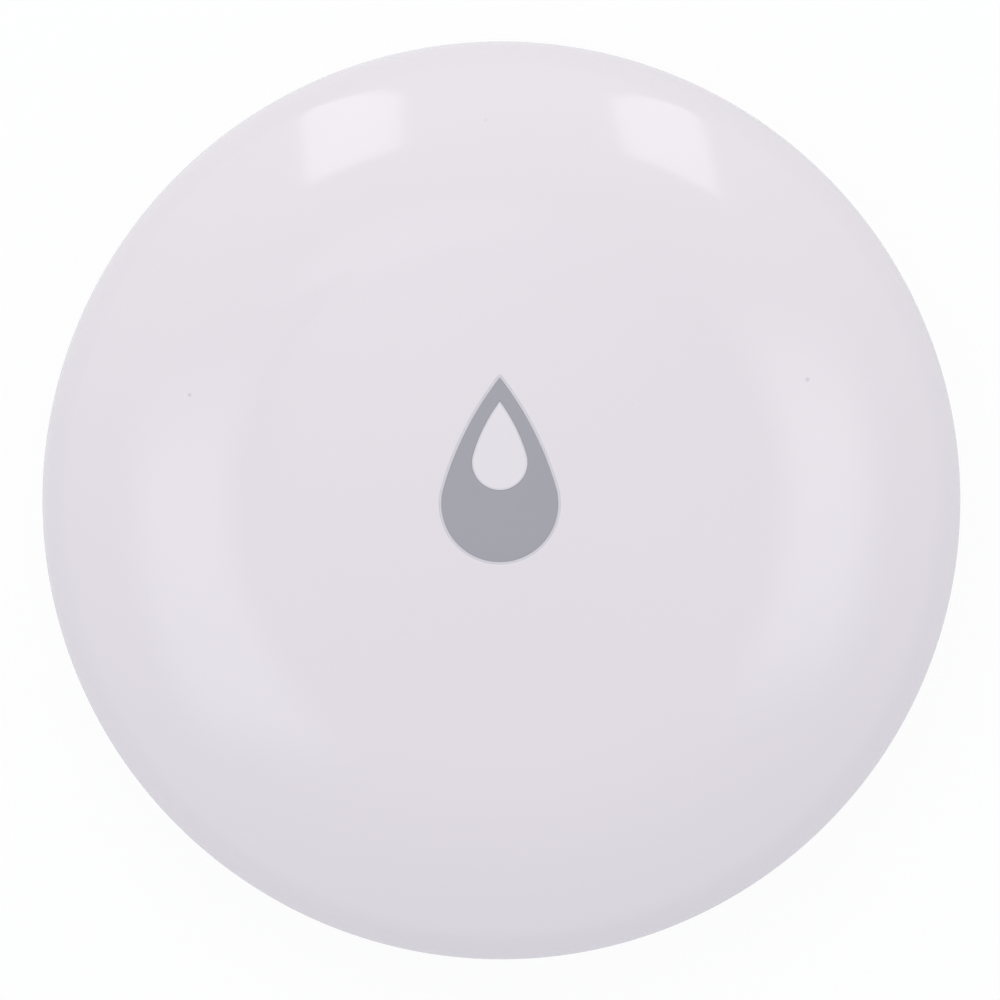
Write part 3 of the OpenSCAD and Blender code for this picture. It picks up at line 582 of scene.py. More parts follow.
def buildPilots(bm):
    for _, foot, bore, end, at in bossPlaces():
        addTurned(bm, pinPath(bore, foot - 1, end), at, 32)


addPiece(
    "domeCover", buildCover, makeFinish("coverPlastic", coverLook), "case", "top_cover",
    [(buildBosses, "UNION"), (buildPilots, "DIFFERENCE")],
)

# drop button, its light window and the seal round it
keySizes = {
    "flangeLow": 12.0, "flangeTop": 12.6, "flangeWidth": 0.6, "stemRadius": 1.2, "stemPlace": (0.0, -1.4),
    "stemLow": 10.7, "stemTop": 12.3, "stemSoft": 0.2,
}
keyLook = {
    "colour": (0.326, 0.314, 0.35), "drift": 0.01, "gloss": 0.42, "uneven": 0.06, "grain": 0.25,
    "grainDepth": 0.00001, "grainScale": 12000.0, "cloudScale": 300.0,
    "marks": {"Speck Scale": 300.0, "Speck Size": 0.02, "Scratch Scale": 260.0, "Scratch Width": 0.008},
    "speckColour": (0.62, 0.6, 0.64), "scratchRough": 0.1,
}


def buildKey(bm):
    s, key, window = keySizes, dropShape["key"], dropShape["window"]
    soft, hole, holeSoft = dropShape["keySoft"], dropShape["skin"], dropShape["holeSoft"]
    low, top, wide, crown = levelAt(s["flangeLow"]), levelAt(s["flangeTop"]), s["flangeWidth"], crownAt(0)
    loops = [dropLoop(key, wide, low), dropLoop(key, wide, top), dropLoop(key, 0, top)]
    loops += [dropLoop(key, -out, crownAt(down)) for out, down in quarterRound(soft, 6)]
    edge, mouth = dropLoop(key, -soft, crown), dropLoop(window, hole + holeSoft, crown)
    loops += [mixLoops(edge, mouth, t, crown) for t in spread(0, 1, 8)[1:-1]]
    rounded = reversed(quarterRound(holeSoft, 5))
    loops += [dropLoop(window, hole + out, crownAt(down)) for out, down in rounded]
    loops.append(dropLoop(window, hole, low))
    loops.append(mixLoops(loops[-1], loops[0], 0.5, low))
    addSkin(bm, loops, closed=True)


def buildStem(bm):
    s = keySizes
    addTurned(bm, pinPath(s["stemRadius"], s["stemLow"], s["stemTop"], s["stemSoft"]), s["stemPlace"], 64)


addPiece(
    "dropKey", buildKey, makeFinish("buttonPlastic", keyLook), "button", "drop_button",
    [(buildStem, "UNION")],
)

windowSizes = {"low": 10.2}
windowLook = {
    "colour": (0.779, 0.73, 0.76), "drift": 0.006, "gloss": 0.22, "uneven": 0.05, "grain": 0.15,
    "grainDepth": 0.00001, "grainScale": 5000.0, "cloudScale": 400.0,
    "plain": {"IOR": 1.5, "Subsurface Weight": 0.15, "Subsurface Radius": (0.001, 0.001, 0.001)},
    # grey of the painted shade at the window's rim
    "rim": (0.63, 0.608, 0.652),
}


def buildWindow(bm):
    window, eye = dropShape["window"], dropShape["eye"]
    soft, low = dropShape["windowSoft"], windowSizes["low"]
    middle = [eye] * around
    rim = dropLoop(window, -dropShape["windowShadeRim"], crownAt(0))
    loops = [[(*eye, crownHeight(*eye))]]
    loops += [mixLoops(middle, rim, t, crownAt(0)) for t in spread(0, 1, 8)[1:]]
    within = len(loops)
    rounded = reversed(quarterRound(soft, 5))
    loops += [dropLoop(window, -out, crownAt(down)) for out, down in rounded]
    loops.append(dropLoop(window, 0, levelAt(low)))
    loops += [mixLoops(loops[-1], middle, t, levelAt(low)) for t in (0.4, 0.8)]
    loops.append([(*eye, low)])
    # the rim's rings are marked for painted shade, grey as if shaded by the key round the window
    bm.verts.layers.float.new("rimShare")
    markPoints(bm, "rimShare", addSkin(bm, loops)[within:], 1.0)


windowFinish = makeFinish("windowPlastic", windowLook)
addPiece("windowDrop", buildWindow, windowFinish, "button", "light_window")

sealSizes = {
    "low": 12.62, "top": 12.88, "filmRadius": 8.6, "lipSink": 0.004, "lipSoft": 0.004, "seat": 0.004,
}
sealLook = {
    "colour": (0.635, 0.613, 0.658), "drift": 0.01, "gloss": 0.4, "uneven": 0.08, "grain": 0.2,
    "grainDepth": 0.00001, "grainScale": 8000.0, "cloudScale": 500.0,
    "plain": {"IOR": 1.41, "Subsurface Weight": 0.1, "Subsurface Radius": (0.0006, 0.0006, 0.0006)},
}


def buildKeySeal(bm):
    s, key, inner = sealSizes, dropShape["key"], dropShape["skin"]
    outer, soft, sink = dropShape["gap"] - s["seat"], s["lipSoft"], s["lipSink"]
    film, under, over = roundLoop(s["filmRadius"], 0), levelAt(s["low"]), levelAt(s["top"])
    low, top = dropLoop(key, inner, under), dropLoop(key, outer, over)
    loops = [mixLoops(low, film, t, under) for t in spread(0, 1, 5)]
    loops += [mixLoops(film, top, t, over) for t in spread(0, 1, 5)]
    lip = ((outer, sink + soft), (outer - soft, sink), (inner + soft, sink), (inner, sink + soft))
    loops += [dropLoop(key, grow, crownAt(down)) for grow, down in lip]
    addSkin(bm, loops, closed=True)


sealFinish = makeFinish("clearSilicone", sealLook)
addPiece("keySeal", buildKeySeal, sealFinish, "case", "button_seal")

# thread of the base and the lid: root, crest and first height of each
threadShape = {
    "lead": 4.5, "span": 90, "starts": 3, "steps": 40, "rootHeight": 0.7, "crestHeight": 0.45,
    "base": (12.7, 11.8, 2.55), "lid": (11.3, 12.2, 3.2),
    "runOut": 8, "endShare": 0.35,  # the ridge gets lower over one eighth of its length at both ends
}


def addThread(bm, side):
    s = threadShape
    root, crest, low = s[side]
    tall, slim = s["rootHeight"] / 2, s["crestHeight"] / 2
    for start in range(s["starts"]):
        loops = []
        for share in spread(0, 1, s["steps"] + 1):
            angle = math.radians(360 / s["starts"] * start + s["span"] * share)
            rise = low + s["lead"] * s["span"] * share / 360
            taper = min(1.0, s["runOut"] * share, s["runOut"] * (1 - share))
            top = root + (crest - root) * (s["endShare"] + (1 - s["endShare"]) * taper)
            section = [(root, -tall), (top, -slim), (top, slim), (root, tall)]
            loops.append([(*rotated(r, 0, angle), rise + z) for r, z in section])
        addSkin(bm, loops, caps=True)


# base with its battery bay
baseSizes = {
    "low": 0.6, "flat": 21.4, "round": 3.6, "tongue": (21.9, 23.5, 7.8), "groove": (22.8, 6.3, 7.5),
    "floor": 2.2, "bay": (15.55, 3.4), "collar": (13.9, 5.0), "bore": 12.4, "pocket": (14.35, 2.0),
    "post": (2.9, 6.3), "nutBoss": (3.15, 3.4),  # radius and top
    "footWell": (2.6, 1.1), "headWell": (2.0, 2.5), "screwHole": (1.1, 9.0),  # radius and end
    "probeWell": (2.5, 1.75), "probeHole": (1.35, 9.0), "postFoot": 1.9,
    "mouthSoft": 0.12, "rootSoft": 0.3, "boreSoft": 0.15, "edgeSoft": 0.1, "grooveSoft": 0.05,
    "markRadius": 0.8, "markPlace": 15.55, "markDepth": 0.2, "shut": 247.5, "open": 157.5,
}
baseLook = {
    "colour": (0.755, 0.714, 0.738), "drift": 0.008, "gloss": 0.34, "uneven": 0.08, "grain": 0.35,
    "grainDepth": 0.00002, "grainScale": 3500.0, "cloudScale": 80.0,
    "marks": {"Speck Scale": 140.0, "Speck Size": 0.025, "Scratch Scale": 110.0, "Scratch Width": 0.01},
    # the floors of the recessed marks at this height are darkened as painted shade
    "speckColour": (0.5, 0.48, 0.5), "scratchRough": 0.1, "shadeFloor": 0.8, "shadeColour": (0.3, 0.29, 0.31),
}


def buildBase(bm):
    s, case = baseSizes, caseShape
    widest, rim, reveal, seam = case["radius"], case["rim"], case["reveal"], case["seamSoft"]
    tongueIn, tongueOut, tongueTop = s["tongue"]
    grooveIn, grooveLow, grooveTop = s["groove"]
    (pocket, ledge), (bay, bayTop), (collar, collarTop) = s["pocket"], s["bay"], s["collar"]
    edgeSoft, grooveSoft, boreSoft = s["edgeSoft"], s["grooveSoft"], s["boreSoft"]
    edge = arcPath(s["flat"], s["low"] + s["round"], s["round"], math.pi, quarter, 28)
    corners = [(pocket, s["low"], s["mouthSoft"])] + [(r, z, 0) for r, z in edge] + [
        (widest, rim - reveal, seam), (widest - reveal, rim, seam), (tongueOut, rim, 0),
        (tongueOut, grooveLow, grooveSoft), (grooveIn, grooveLow, 0), (grooveIn, grooveTop, 0),
        (tongueOut, grooveTop, grooveSoft), (tongueOut, tongueTop, edgeSoft),
        (tongueIn, tongueTop, edgeSoft), (tongueIn, s["floor"], s["rootSoft"]),
        (bay, s["floor"], 0), (bay, bayTop, edgeSoft),
        (collar, bayTop, 0), (collar, collarTop, edgeSoft), (s["bore"], collarTop, boreSoft),
        (s["bore"], ledge, boreSoft), (pocket, ledge, 0),
    ]
    addTurned(bm, softPath(corners, closed=True), closed=True)


def buildPosts(bm):
    for size, turns in (("post", "footTurns"), ("nutBoss", "probeTurns")):
        radius, top = baseSizes[size]
        addTurnedSet(bm, pinPath(radius, baseSizes["postFoot"], top, 0, baseSizes["boreSoft"]), turns, 72)


# well with a softened mouth in the underside, from its widest step to its narrowest
def wellPath(*names):
    steps = [baseSizes[name] for name in names]
    low, soft, first = baseSizes["low"], baseSizes["mouthSoft"], steps[0][0]
    path = [(0, low - 1), (first + soft, low - 1)]
    path += [(first + out, low + rise) for rise, out in quarterRound(soft, 5)]
    for (radius, end), (nextRadius, _) in zip(steps, steps[1:] + [(0, 0)]):
        path += [(radius, end), (nextRadius, end)]
    return path


# wells, the dot where the lid is shut and the ring where it comes off
def buildWells(bm):
    s = baseSizes
    addTurnedSet(bm, wellPath("footWell", "headWell", "screwHole"), "footTurns", 96)
    addTurnedSet(bm, wellPath("probeWell", "probeHole"), "probeTurns", 96)
    deep, wide = s["low"] + s["markDepth"], s["markRadius"]
    shut, opened = ringPlaces((s["shut"], s["open"]), s["markPlace"])
    addTurned(bm, pinPath(wide, 0, deep), shut, 48)
    addTurned(bm, [(wide / 2, 0), (wide, 0), (wide, deep), (wide / 2, deep)], opened, 48, closed=True)


addPiece(
    "baseDish", buildBase, makeFinish("basePlastic", baseLook), "case", "base",
    [(buildPosts, "UNION"), (buildWells, "DIFFERENCE"), (lambda bm: addThread(bm, "base"), "UNION")],
)

# battery lid with its coin slot
lidSizes = {
    "low": 0.6, "radius": 14.2, "bevel": 0.3, "top": 1.98, "groove": (12.65, 13.95, 1.28),
    "skirt": (10.4, 11.6, 5.0), "seat": (6.3, 7.7, 3.58), "rib": (7.0, 2.2, 1.7, 2.7),
    "bevelSoft": 0.25, "rimSoft": 0.08, "grooveSoft": 0.05, "rootSoft": 0.1, "skirtSoft": 0.2,
    "seatSoft": 0.15, "coinRadius": 14.0, "slotWidth": 2.2, "slotDepth": 1.2, "slotSoft": 0.15,
    "markRadius": 11.6, "markSize": 1.6, "markDepth": 0.2, "arrowReach": 36,
}


def buildLid(bm):
    s = lidSizes
    radius, low, top, bevel = s["radius"], s["low"], s["top"], s["bevel"]
    grooveIn, grooveOut, grooveLow = s["groove"]
    skirtIn, skirtOut, skirtTop = s["skirt"]
    seatIn, seatOut, seatTop = s["seat"]
    bevelSoft, grooveSoft = s["bevelSoft"], s["grooveSoft"]
    skirtSoft, seatSoft = s["skirtSoft"], s["seatSoft"]
    addTurned(bm, softPath([
        (0, low, 0), (radius - bevel, low, bevelSoft), (radius, low + bevel, bevelSoft),
        (radius, top, s["rimSoft"]), (grooveOut, top, grooveSoft), (grooveOut, grooveLow, 0),
        (grooveIn, grooveLow, 0), (grooveIn, top, grooveSoft), (skirtOut, top, s["rootSoft"]),
        (skirtOut, skirtTop, skirtSoft), (skirtIn, skirtTop, skirtSoft), (skirtIn, top, seatSoft),
        (seatOut, top, seatSoft), (seatOut, seatTop, seatSoft), (seatIn, seatTop, seatSoft),
        (seatIn, top, seatSoft), (0, top, 0),
    ]))


def buildRib(bm):
    length, width, low, top = lidSizes["rib"]
    addPrism(bm, boxOutline(length, width), low, top)


# coin-shaped slot
def buildSlot(bm):
    s = lidSizes
    half = s["slotWidth"] / 2
    middle = s["low"] + s["slotDepth"] - s["coinRadius"]
    coin = circleLoop(s["coinRadius"], 0, (0, middle), 256)
    sides = [[(x, y, z) for x, z, _ in coin] for y in (-half, half)]
    addSkin(bm, [[(0, -half, middle)]] + sides + [[(0, half, middle)]])


# rounded edge of the slot's mouth, which narrows with the slot's length
def buildSlotMouth(bm):
    s = lidSizes
    reach, soft, low, half = s["coinRadius"], s["slotSoft"], s["low"], s["slotWidth"] / 2
    middle = low + s["slotDepth"] - reach
    endShare = 0.3  # how far the ends grow, as a share of the sides

    def mouth(grow, z, level):
        length = math.sqrt(reach ** 2 - (level - middle) ** 2) + endShare * grow
        return [(x, y, z) for x, y in boxOutline(length, half + grow)]

    loops = [[(0, 0, low - 1)], mouth(soft, low - 1, low)]
    loops += [mouth(out, low + rise, low + rise) for rise, out in quarterRound(soft, 6)]
    addSkin(bm, loops + [[(0, 0, low + soft)]])


# curved arrow for the way to open, and the triangle that points at the marks
def buildLidMarks(bm):
    s = lidSizes
    middle, size, half = s["markRadius"], s["markSize"], s["markSize"] / 4
    low, deep = s["low"] - 0.5, s["low"] + s["markDepth"]  # the tool starts below the surface
    shut, reach = math.radians(baseSizes["shut"]), math.radians(s["arrowReach"])
    point = [(s["radius"] - size / 2, 0), (middle, size / 2), (middle, -size / 2)]
    addPrism(bm, [rotated(x, y, shut) for x, y in point], low, deep)
    turns = spread(-reach, reach, 40)
    arrow = [(middle - 2 * half, -reach), (middle, -reach - size / middle), (middle + 2 * half, -reach)]
    arrow += [(middle + half, t) for t in turns] + [(middle - half, t) for t in reversed(turns)]
    addPrism(bm, [rotated(r, 0, t + shut + math.pi) for r, t in arrow], low, deep)


lidFinish = makeFinish("lidPlastic", dict(baseLook, cloudScale=95.0))
lidTools = [
    (buildRib, "UNION"), (buildSlot, "DIFFERENCE"), (buildSlotMouth, "DIFFERENCE"),
    (buildLidMarks, "DIFFERENCE"), (lambda bm: addThread(bm, "lid"), "UNION"),
]
addPiece("batteryLid", buildLid, lidFinish, "battery_cover", "battery_cover", lidTools, 20)

# rubber feet
rubberLook = {
    "colour": (0.31, 0.298, 0.302), "drift": 0.05, "gloss": 0.62, "uneven": 0.1, "grain": 0.5,
    "grainDepth": 0.00003, "grainScale": 6000.0, "cloudScale": 600.0,
    "marks": {"Speck Scale": 700.0, "Speck Size": 0.06, "Scratch Scale": 300.0, "Scratch Width": 0.01},
    "speckColour": (0.5, 0.5, 0.5), "scratchRough": 0.05,
}
footSizes = {"radius": 2.5, "top": 1.1, "soft": 0.35, "topSoft": 0.08}


def buildFeet(bm):
    s = footSizes
    path = pinPath(s["radius"], 0, s["top"], s["soft"], s["topSoft"], steps=8)
    addTurnedSet(bm, path, "footTurns", 128)


addPiece("rubberFeet", buildFeet, makeFinish("footRubber", rubberLook), "case", "feet")

# water probes
goldLook = {
    "colour": (0.83, 0.64, 0.31), "drift": 0.04, "gloss": 0.2, "uneven": 0.12, "grain": 0.3,
    "grainDepth": 0.000004, "grainScale": 5000.0, "cloudScale": 700.0, "plain": {"Metallic": 1.0},
    "rings": {"Place": caseShape["ringRadius"] * mm, "Pitch": 60000.0, "Depth": 1.0}, "ringRough": 0.1,
}
probeSizes = {
    "low": 0.25, "crown": 0.16, "head": (2.3, 1.05), "shank": (1.2, 5.8), "groove": (1.3, 1.55, 0.09),
    "headSoft": 0.2, "edgeSoft": 0.05, "grooveSoft": 0.03, "endSoft": 0.3,
}


def buildProbes(bm):
    s = probeSizes
    (head, headTop), (shank, top) = s["head"], s["shank"]
    grooveIn, grooveOut, deep = s["groove"]
    edge, inner = s["edgeSoft"], s["grooveSoft"]

    def faceAt(r):  # domed face
        return s["low"] + s["crown"] * (r / head) ** 2

    # the rings of points keep clear of the groove's and the head's rounded edges
    face = [(r, faceAt(r), 0) for r in spread(0, 0.85 * grooveIn, 6)]
    face += [(grooveIn, faceAt(grooveIn), edge), (grooveIn, faceAt(grooveIn) + deep, inner)]
    face += [(grooveOut, faceAt(grooveOut) + deep, inner), (grooveOut, faceAt(grooveOut), edge)]
    face += [(r, faceAt(r), 0) for r in spread(1.1 * grooveOut, 0.88 * head, 4)]
    path = softPath(face + [
        (head, s["low"] + s["crown"], s["headSoft"]), (head, headTop, edge), (shank, headTop, edge),
        (shank, top, s["endSoft"]), (0, top, 0),
    ], steps=8)
    addTurnedSet(bm, path, "probeTurns", 128)


probeFinish = makeFinish("probeGold", goldLook)
addPiece("waterProbes", buildProbes, probeFinish, "case", "water_probes")


# inner pieces, placed by the boxes of the solids that they stand for
def metalLook(colour, gloss, **more):
    look = {"colour": colour, "drift": 0.03, "gloss": gloss, "uneven": 0.12, "grain": 0.25,
            "grainDepth": 0.000005, "grainScale": 7000.0, "cloudScale": 400.0, "plain": {"Metallic": 1.0}}
    return dict(look, **more)


def mouldLook(colour, gloss, **more):
    look = {"colour": colour, "drift": 0.03, "gloss": gloss, "uneven": 0.1, "grain": 0.4,
            "grainDepth": 0.00001, "grainScale": 8000.0, "cloudScale": 350.0}
    return dict(look, **more)


# lowest and highest corner of each separate solid in a node, in millimetres
def solidBoxes(name):
    bm = bmesh.new()
    bm.from_mesh(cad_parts[name].data)
    bmesh.ops.remove_doubles(bm, verts=bm.verts, dist=1e-7)
    seen, boxes = set(), []
    for start in bm.verts:
        if start in seen:
            continue
        seen.add(start)
        found, points = [start], []
        while found:
            vert = found.pop()
            points.append(vert.co / mm)
            near = [edge.other_vert(vert) for edge in vert.link_edges]
            fresh = [v for v in near if v not in seen]
            seen.update(fresh)
            found += fresh
        boxes.append([Vector([pick(p[i] for p in points) for i in range(3)]) for pick in (min, max)])
    bm.free()
    return boxes


def solidBox(name):
    return solidBoxes(name)[0]


def middleOf(name):
    low, high = solidBox(name)
    return ((low.x + high.x) / 2, (low.y + high.y) / 2)


# block with rounded edges; metal is one where a piece of two finishes is bare metal
def addBlock(bm, low, high, soft, metal=0.0):
    if not bm.verts.layers.float.get("metalShare"):
        bm.verts.layers.float.new("metalShare")
    cornerShare = 0.8  # how much of an inset the upright edges lose

    def ring(inset, z):
        left, front, right, back = low.x + inset, low.y + inset, high.x - inset, high.y - inset
        corners = [(left, front), (right, front), (right, back), (left, back)]
        corners = [(*corner, soft - cornerShare * inset) for corner in corners]
        return [(x, y, z) for x, y in softPath(corners, closed=True, steps=4)]

    edge = quarterRound(soft, 4)
    rings = [ring(inset, low.z + rise) for rise, inset in edge]
    rings += [ring(inset, high.z - rise) for rise, inset in reversed(edge)]
    x, y, _ = (low + high) / 2
    markPoints(bm, "metalShare", addSkin(bm, [[(x, y, low.z)]] + rings + [[(x, y, high.z)]]), metal)


cellSizes = {
    "edge": 0.45, "crimp": 0.35, "inner": 0.15, "capEdge": 0.3,
    "plus": (1.7, 0.28, 0.06), "plusPlace": 5.2,  # half length, half width and depth of the stamped plus
}
cellLook = metalLook(
    (0.66, 0.66, 0.65), 0.26, uneven=0.05, drift=0.012, grain=0.1, cloudScale=200.0,
    rings={"Place": 0.0, "Pitch": 24000.0, "Depth": 0.6}, ringRough=0.06,
)


def buildCell(bm):
    s = cellSizes
    low, high = solidBox("coin_cell_can")
    gasketLow, gasketHigh = solidBox("coin_cell_gasket")
    mouth = gasketHigh.x
    addTurned(bm, softPath([
        (0, low.z, 0), (high.x, low.z, s["edge"]), (high.x, high.z, s["crimp"]),
        (mouth, high.z, s["inner"]), (mouth, gasketLow.z, 0), (0, gasketLow.z, 0),
    ], steps=10))


def buildPlus(bm):
    long, slim, deep = cellSizes["plus"]
    low, y = solidBox("coin_cell_can")[0].z, cellSizes["plusPlace"]
    outline = [(long, slim), (slim, slim), (slim, long)]
    corners = outline + [(-x, z) for x, z in reversed(outline)]
    corners += [(-x, -z) for x, z in corners]
    addPrism(bm, [(x, y + z) for x, z in corners], low - 1, low + deep)


def buildCellCap(bm):
    low, high = solidBox("coin_cell_cap")
    addTurned(bm, pinPath(high.x, low.z, high.z, 0, cellSizes["capEdge"], steps=10))


for name, build, node, tools in (
    ("cellCan", buildCell, "coin_cell_can", [(buildPlus, "DIFFERENCE")]),
    ("cellCap", buildCellCap, "coin_cell_cap", []),
):
    addPiece(name, build, makeFinish(name + "Steel", cellLook), "case", node, tools)

# push switch: snap dome, which flattens under its plunger on the real switch, and the plunger
switchSizes = {
    "thick": 0.1, "crown": 0.45, "crownSoft": 0.3, "rimSoft": 0.03,
    "stem": 0.9, "flange": 0.3, "stemSoft": 0.15,
}


def buildSnapDome(bm):
    s = switchSizes
    low, high = solidBox("switch_dome")
    rim, crown, thick, soft, edge = high.x, s["crown"], s["thick"], s["crownSoft"], s["rimSoft"]
    addTurned(bm, softPath([
        (0, high.z, 0), (crown, high.z, soft), (rim - thick, low.z + thick, soft / 2),
        (rim, low.z + thick, edge), (rim, low.z, edge), (rim - 2 * thick, low.z, edge),
        (crown - thick / 2, high.z - thick, soft), (0, high.z - thick, 0),
    ]), middleOf("switch_dome"), 96)


def buildPlunger(bm):
    s = switchSizes
    low, high = solidBox("switch_plunger")
    step, edge = low.z + s["flange"], s["rimSoft"]
    addTurned(bm, softPath([
        (0, low.z, 0), (high.x, low.z, edge), (high.x, step, edge), (s["stem"], step, edge),
        (s["stem"], high.z, s["stemSoft"]), (0, high.z, 0),
    ]), middleOf("switch_plunger"), 96)


snapFinish = makeFinish("snapSteel", metalLook((0.62, 0.63, 0.64), 0.2))
snapDome = addPiece("snapDome", buildSnapDome, snapFinish, "case", "switch_dome")
snapLow, snapHigh = solidBox("switch_dome")
snapFoot = [v * mm for v in (*middleOf("switch_dome"), snapLow.z)]
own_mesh(snapDome)
plungerFinish = makeFinish("plungerPlastic", mouldLook((0.3, 0.07, 0.05), 0.4))
addPiece("switchPlunger", buildPlunger, plungerFinish, "plunger", "switch_plunger")

# chip, crystals, small parts and light on the board
boardPieces = {
    "soft": 0.06, "passiveCap": 0.32, "passiveWaist": 0.03, "crystalLid": 0.15,
    "ledFoot": 0.5, "lensShare": 0.7, "lensSoft": 0.14,
    "chipEdge": 0.03, "pads": 10, "padPitch": 0.5, "padWidth": 0.28, "padHeight": 0.2,
    "dot": (0.9, 0.35, 0.1),  # distance from the chip's edges, radius and depth
}


def buildPassives(bm):
    s = boardPieces
    for low, high in solidBoxes("chip_passives"):
        way = 0 if high.x - low.x > high.y - low.y else 1
        waist = Vector((s["passiveWaist"],) * 3)
        bodyLow, bodyHigh = low + waist, high - waist
        bodyLow[way], bodyHigh[way] = low[way] + s["passiveCap"], high[way] - s["passiveCap"]
        addBlock(bm, bodyLow, bodyHigh, s["soft"])
        capHigh, capLow = high.copy(), low.copy()
        capHigh[way], capLow[way] = bodyLow[way], bodyHigh[way]
        addBlock(bm, low, capHigh, s["soft"], 1.0)
        addBlock(bm, capLow, high, s["soft"], 1.0)


def buildCrystals(bm):
    lid, soft = boardPieces["crystalLid"], boardPieces["soft"]
    for low, high in solidBoxes("crystals"):
        tray = high.z - lid
        addBlock(bm, low, Vector((high.x, high.y, tray)), soft)
        addBlock(bm, Vector((low.x + lid, low.y + lid, tray)), high - Vector((lid, lid, 0)), soft, 1.0)


def buildLed(bm):
    s = boardPieces
    low, high = solidBox("status_led")
    middle, half = (low.x + high.x) / 2, s["lensShare"] * (high.x - low.x) / 2
    step = low.z + s["ledFoot"] * (high.z - low.z)
    addBlock(bm, low, Vector((high.x, high.y, step)), s["soft"])
    lensLow, lensHigh = Vector((middle - half, low.y, step)), Vector((middle + half, high.y, high.z))
    addBlock(bm, lensLow, lensHigh, s["lensSoft"])


def buildChip(bm):
    s = boardPieces
    low, high = solidBox("radio_chip")
    edge, middle = s["chipEdge"], (low + high) / 2
    inset = Vector((edge, edge, 0))
    addBlock(bm, low + inset, high - inset, s["soft"])
    starts = [(i - (s["pads"] - 1) / 2) * s["padPitch"] - s["padWidth"] / 2 for i in range(s["pads"])]
    for side in (0, 1):
        for near in (low[side], high[side] - edge):  # a row of pads at each edge
            for start in starts:
                padLow = Vector((0, 0, low.z))
                padLow[side], padLow[1 - side] = near, middle[1 - side] + start
                padHigh = padLow + Vector((0, 0, s["padHeight"]))
                padHigh[side] += edge
                padHigh[1 - side] += s["padWidth"]
                addBlock(bm, padLow, padHigh, edge / 3, 1.0)


def buildDot(bm):
    inset, radius, deep = boardPieces["dot"]
    low, high = solidBox("radio_chip")
    addTurned(bm, pinPath(radius, high.z - deep, high.z + 1), (low.x + inset, high.y - inset), 48)


solderMetal, crystalMetal = (0.7, 0.69, 0.66), (0.68, 0.66, 0.6)
lensPlain = {"Subsurface Weight": 0.2, "Subsurface Radius": (0.0005, 0.0005, 0.0003)}
chipLook = mouldLook((0.02, 0.02, 0.022), 0.5, metal=solderMetal)
passiveLook = mouldLook((0.36, 0.26, 0.17), 0.4, metal=solderMetal)
crystalLook = mouldLook((0.2, 0.19, 0.17), 0.4, metal=crystalMetal)
lensLook = mouldLook((0.78, 0.76, 0.6), 0.15, plain=lensPlain)
for name, build, look, slot, node, tools in (
    ("radioChip", buildChip, chipLook, "chip_epoxy", "radio_chip", [(buildDot, "DIFFERENCE")]),
    ("chipPassives", buildPassives, passiveLook, "passive_ceramic", "chip_passives", []),
    ("crystalCans", buildCrystals, crystalLook, "crystal_metal", "crystals", []),
    ("statusLed", buildLed, lensLook, "led_lens", "status_led", []),
):
    addPiece(name, build, makeFinish(name + "Finish", look), "case", node, tools)

# solder mask over tracks, bare laminate at the edges and gold rings round the screws
boardLook = {
    "mask": (0.02, 0.11, 0.05), "track": (0.025, 0.145, 0.063), "laminate": (0.42, 0.36, 0.2),
    "gold": (0.8, 0.6, 0.28), "pitch": 0.0009, "trackShare": 0.3, "patchScale": 150.0, "padRadius": 0.0019,
    "gloss": 0.3, "drift": 0.03, "trackBump": (0.5, 0.00002),
}


def boardFinish(look):
    material, tree, shader = newFinish("boardLaminate")
    spot, facing = split(place(tree)), split(place(tree, "Normal"))[2]
    patch = noiseNode(tree, look["patchScale"], 1.0)
    lines = []  # tracks run one way in some patches and the other way in others
    for axis, test, level in ((0, "GREATER_THAN", 0.55), (1, "LESS_THAN", 0.46)):
        step = calc("FRACT", calc("DIVIDE", spot[axis], look["pitch"]))
        line = calc("LESS_THAN", step, look["trackShare"])
        lines.append(calc("MULTIPLY", line, calc(test, patch, level)))
    tracks = calc("MAXIMUM", *lines)
    skin = placeGroup(tree, skinGroup, Colour=(*look["mask"], 1), Drift=look["drift"], Gloss=look["gloss"])
    colour = mixColours(tracks, skin["Colour"], look["track"])
    upright = calc("LESS_THAN", calc("ABSOLUTE", facing), 0.5)
    colour = mixColours(upright, colour, look["laminate"])
    away = calc("SUBTRACT", calc("ABSOLUTE", spot[1]), caseShape["ringRadius"] * mm)
    pads = calc("LESS_THAN", reachOf(away, spot[0]), look["padRadius"])
    colour = mixColours(pads, colour, look["gold"])
    feed(colour, shader.inputs["Base Color"])
    feed(pads, shader.inputs["Metallic"])
    feed(skin["Roughness"], shader.inputs["Roughness"])
    addBump(tree, shader, tracks, *look["trackBump"])
    return material


# pieces that keep their solid's shape: a finish each
sealRubber = mouldLook((0.06, 0.06, 0.065), 0.5)
springMetal = metalLook((0.72, 0.69, 0.6), 0.25)
screwSteel = metalLook((0.55, 0.55, 0.56), 0.3)
innerLooks = {
    "case_seal": sealRubber,
    "battery_cover_seal": sealRubber,
    "probe_seals": sealRubber,
    "coin_cell_gasket": mouldLook((0.62, 0.62, 0.58), 0.45),
    "battery_frame": mouldLook((0.035, 0.035, 0.038), 0.4),
    "positive_contact": springMetal,
    "negative_contact": springMetal,
    "board_antenna": metalLook((0.72, 0.42, 0.26), 0.3),
    "switch_body": mouldLook((0.03, 0.03, 0.03), 0.45),
    "switch_frame": metalLook((0.6, 0.61, 0.62), 0.25),
    "probe_nuts": metalLook((0.72, 0.55, 0.27), 0.28),
    "probe_contacts": springMetal,
    "case_screws": screwSteel,
    "board_screws": screwSteel,
}
innerFinishes = {name: makeFinish(name + "Finish", look) for name, look in innerLooks.items()}
innerFinishes["circuit_board"] = boardFinish(boardLook)
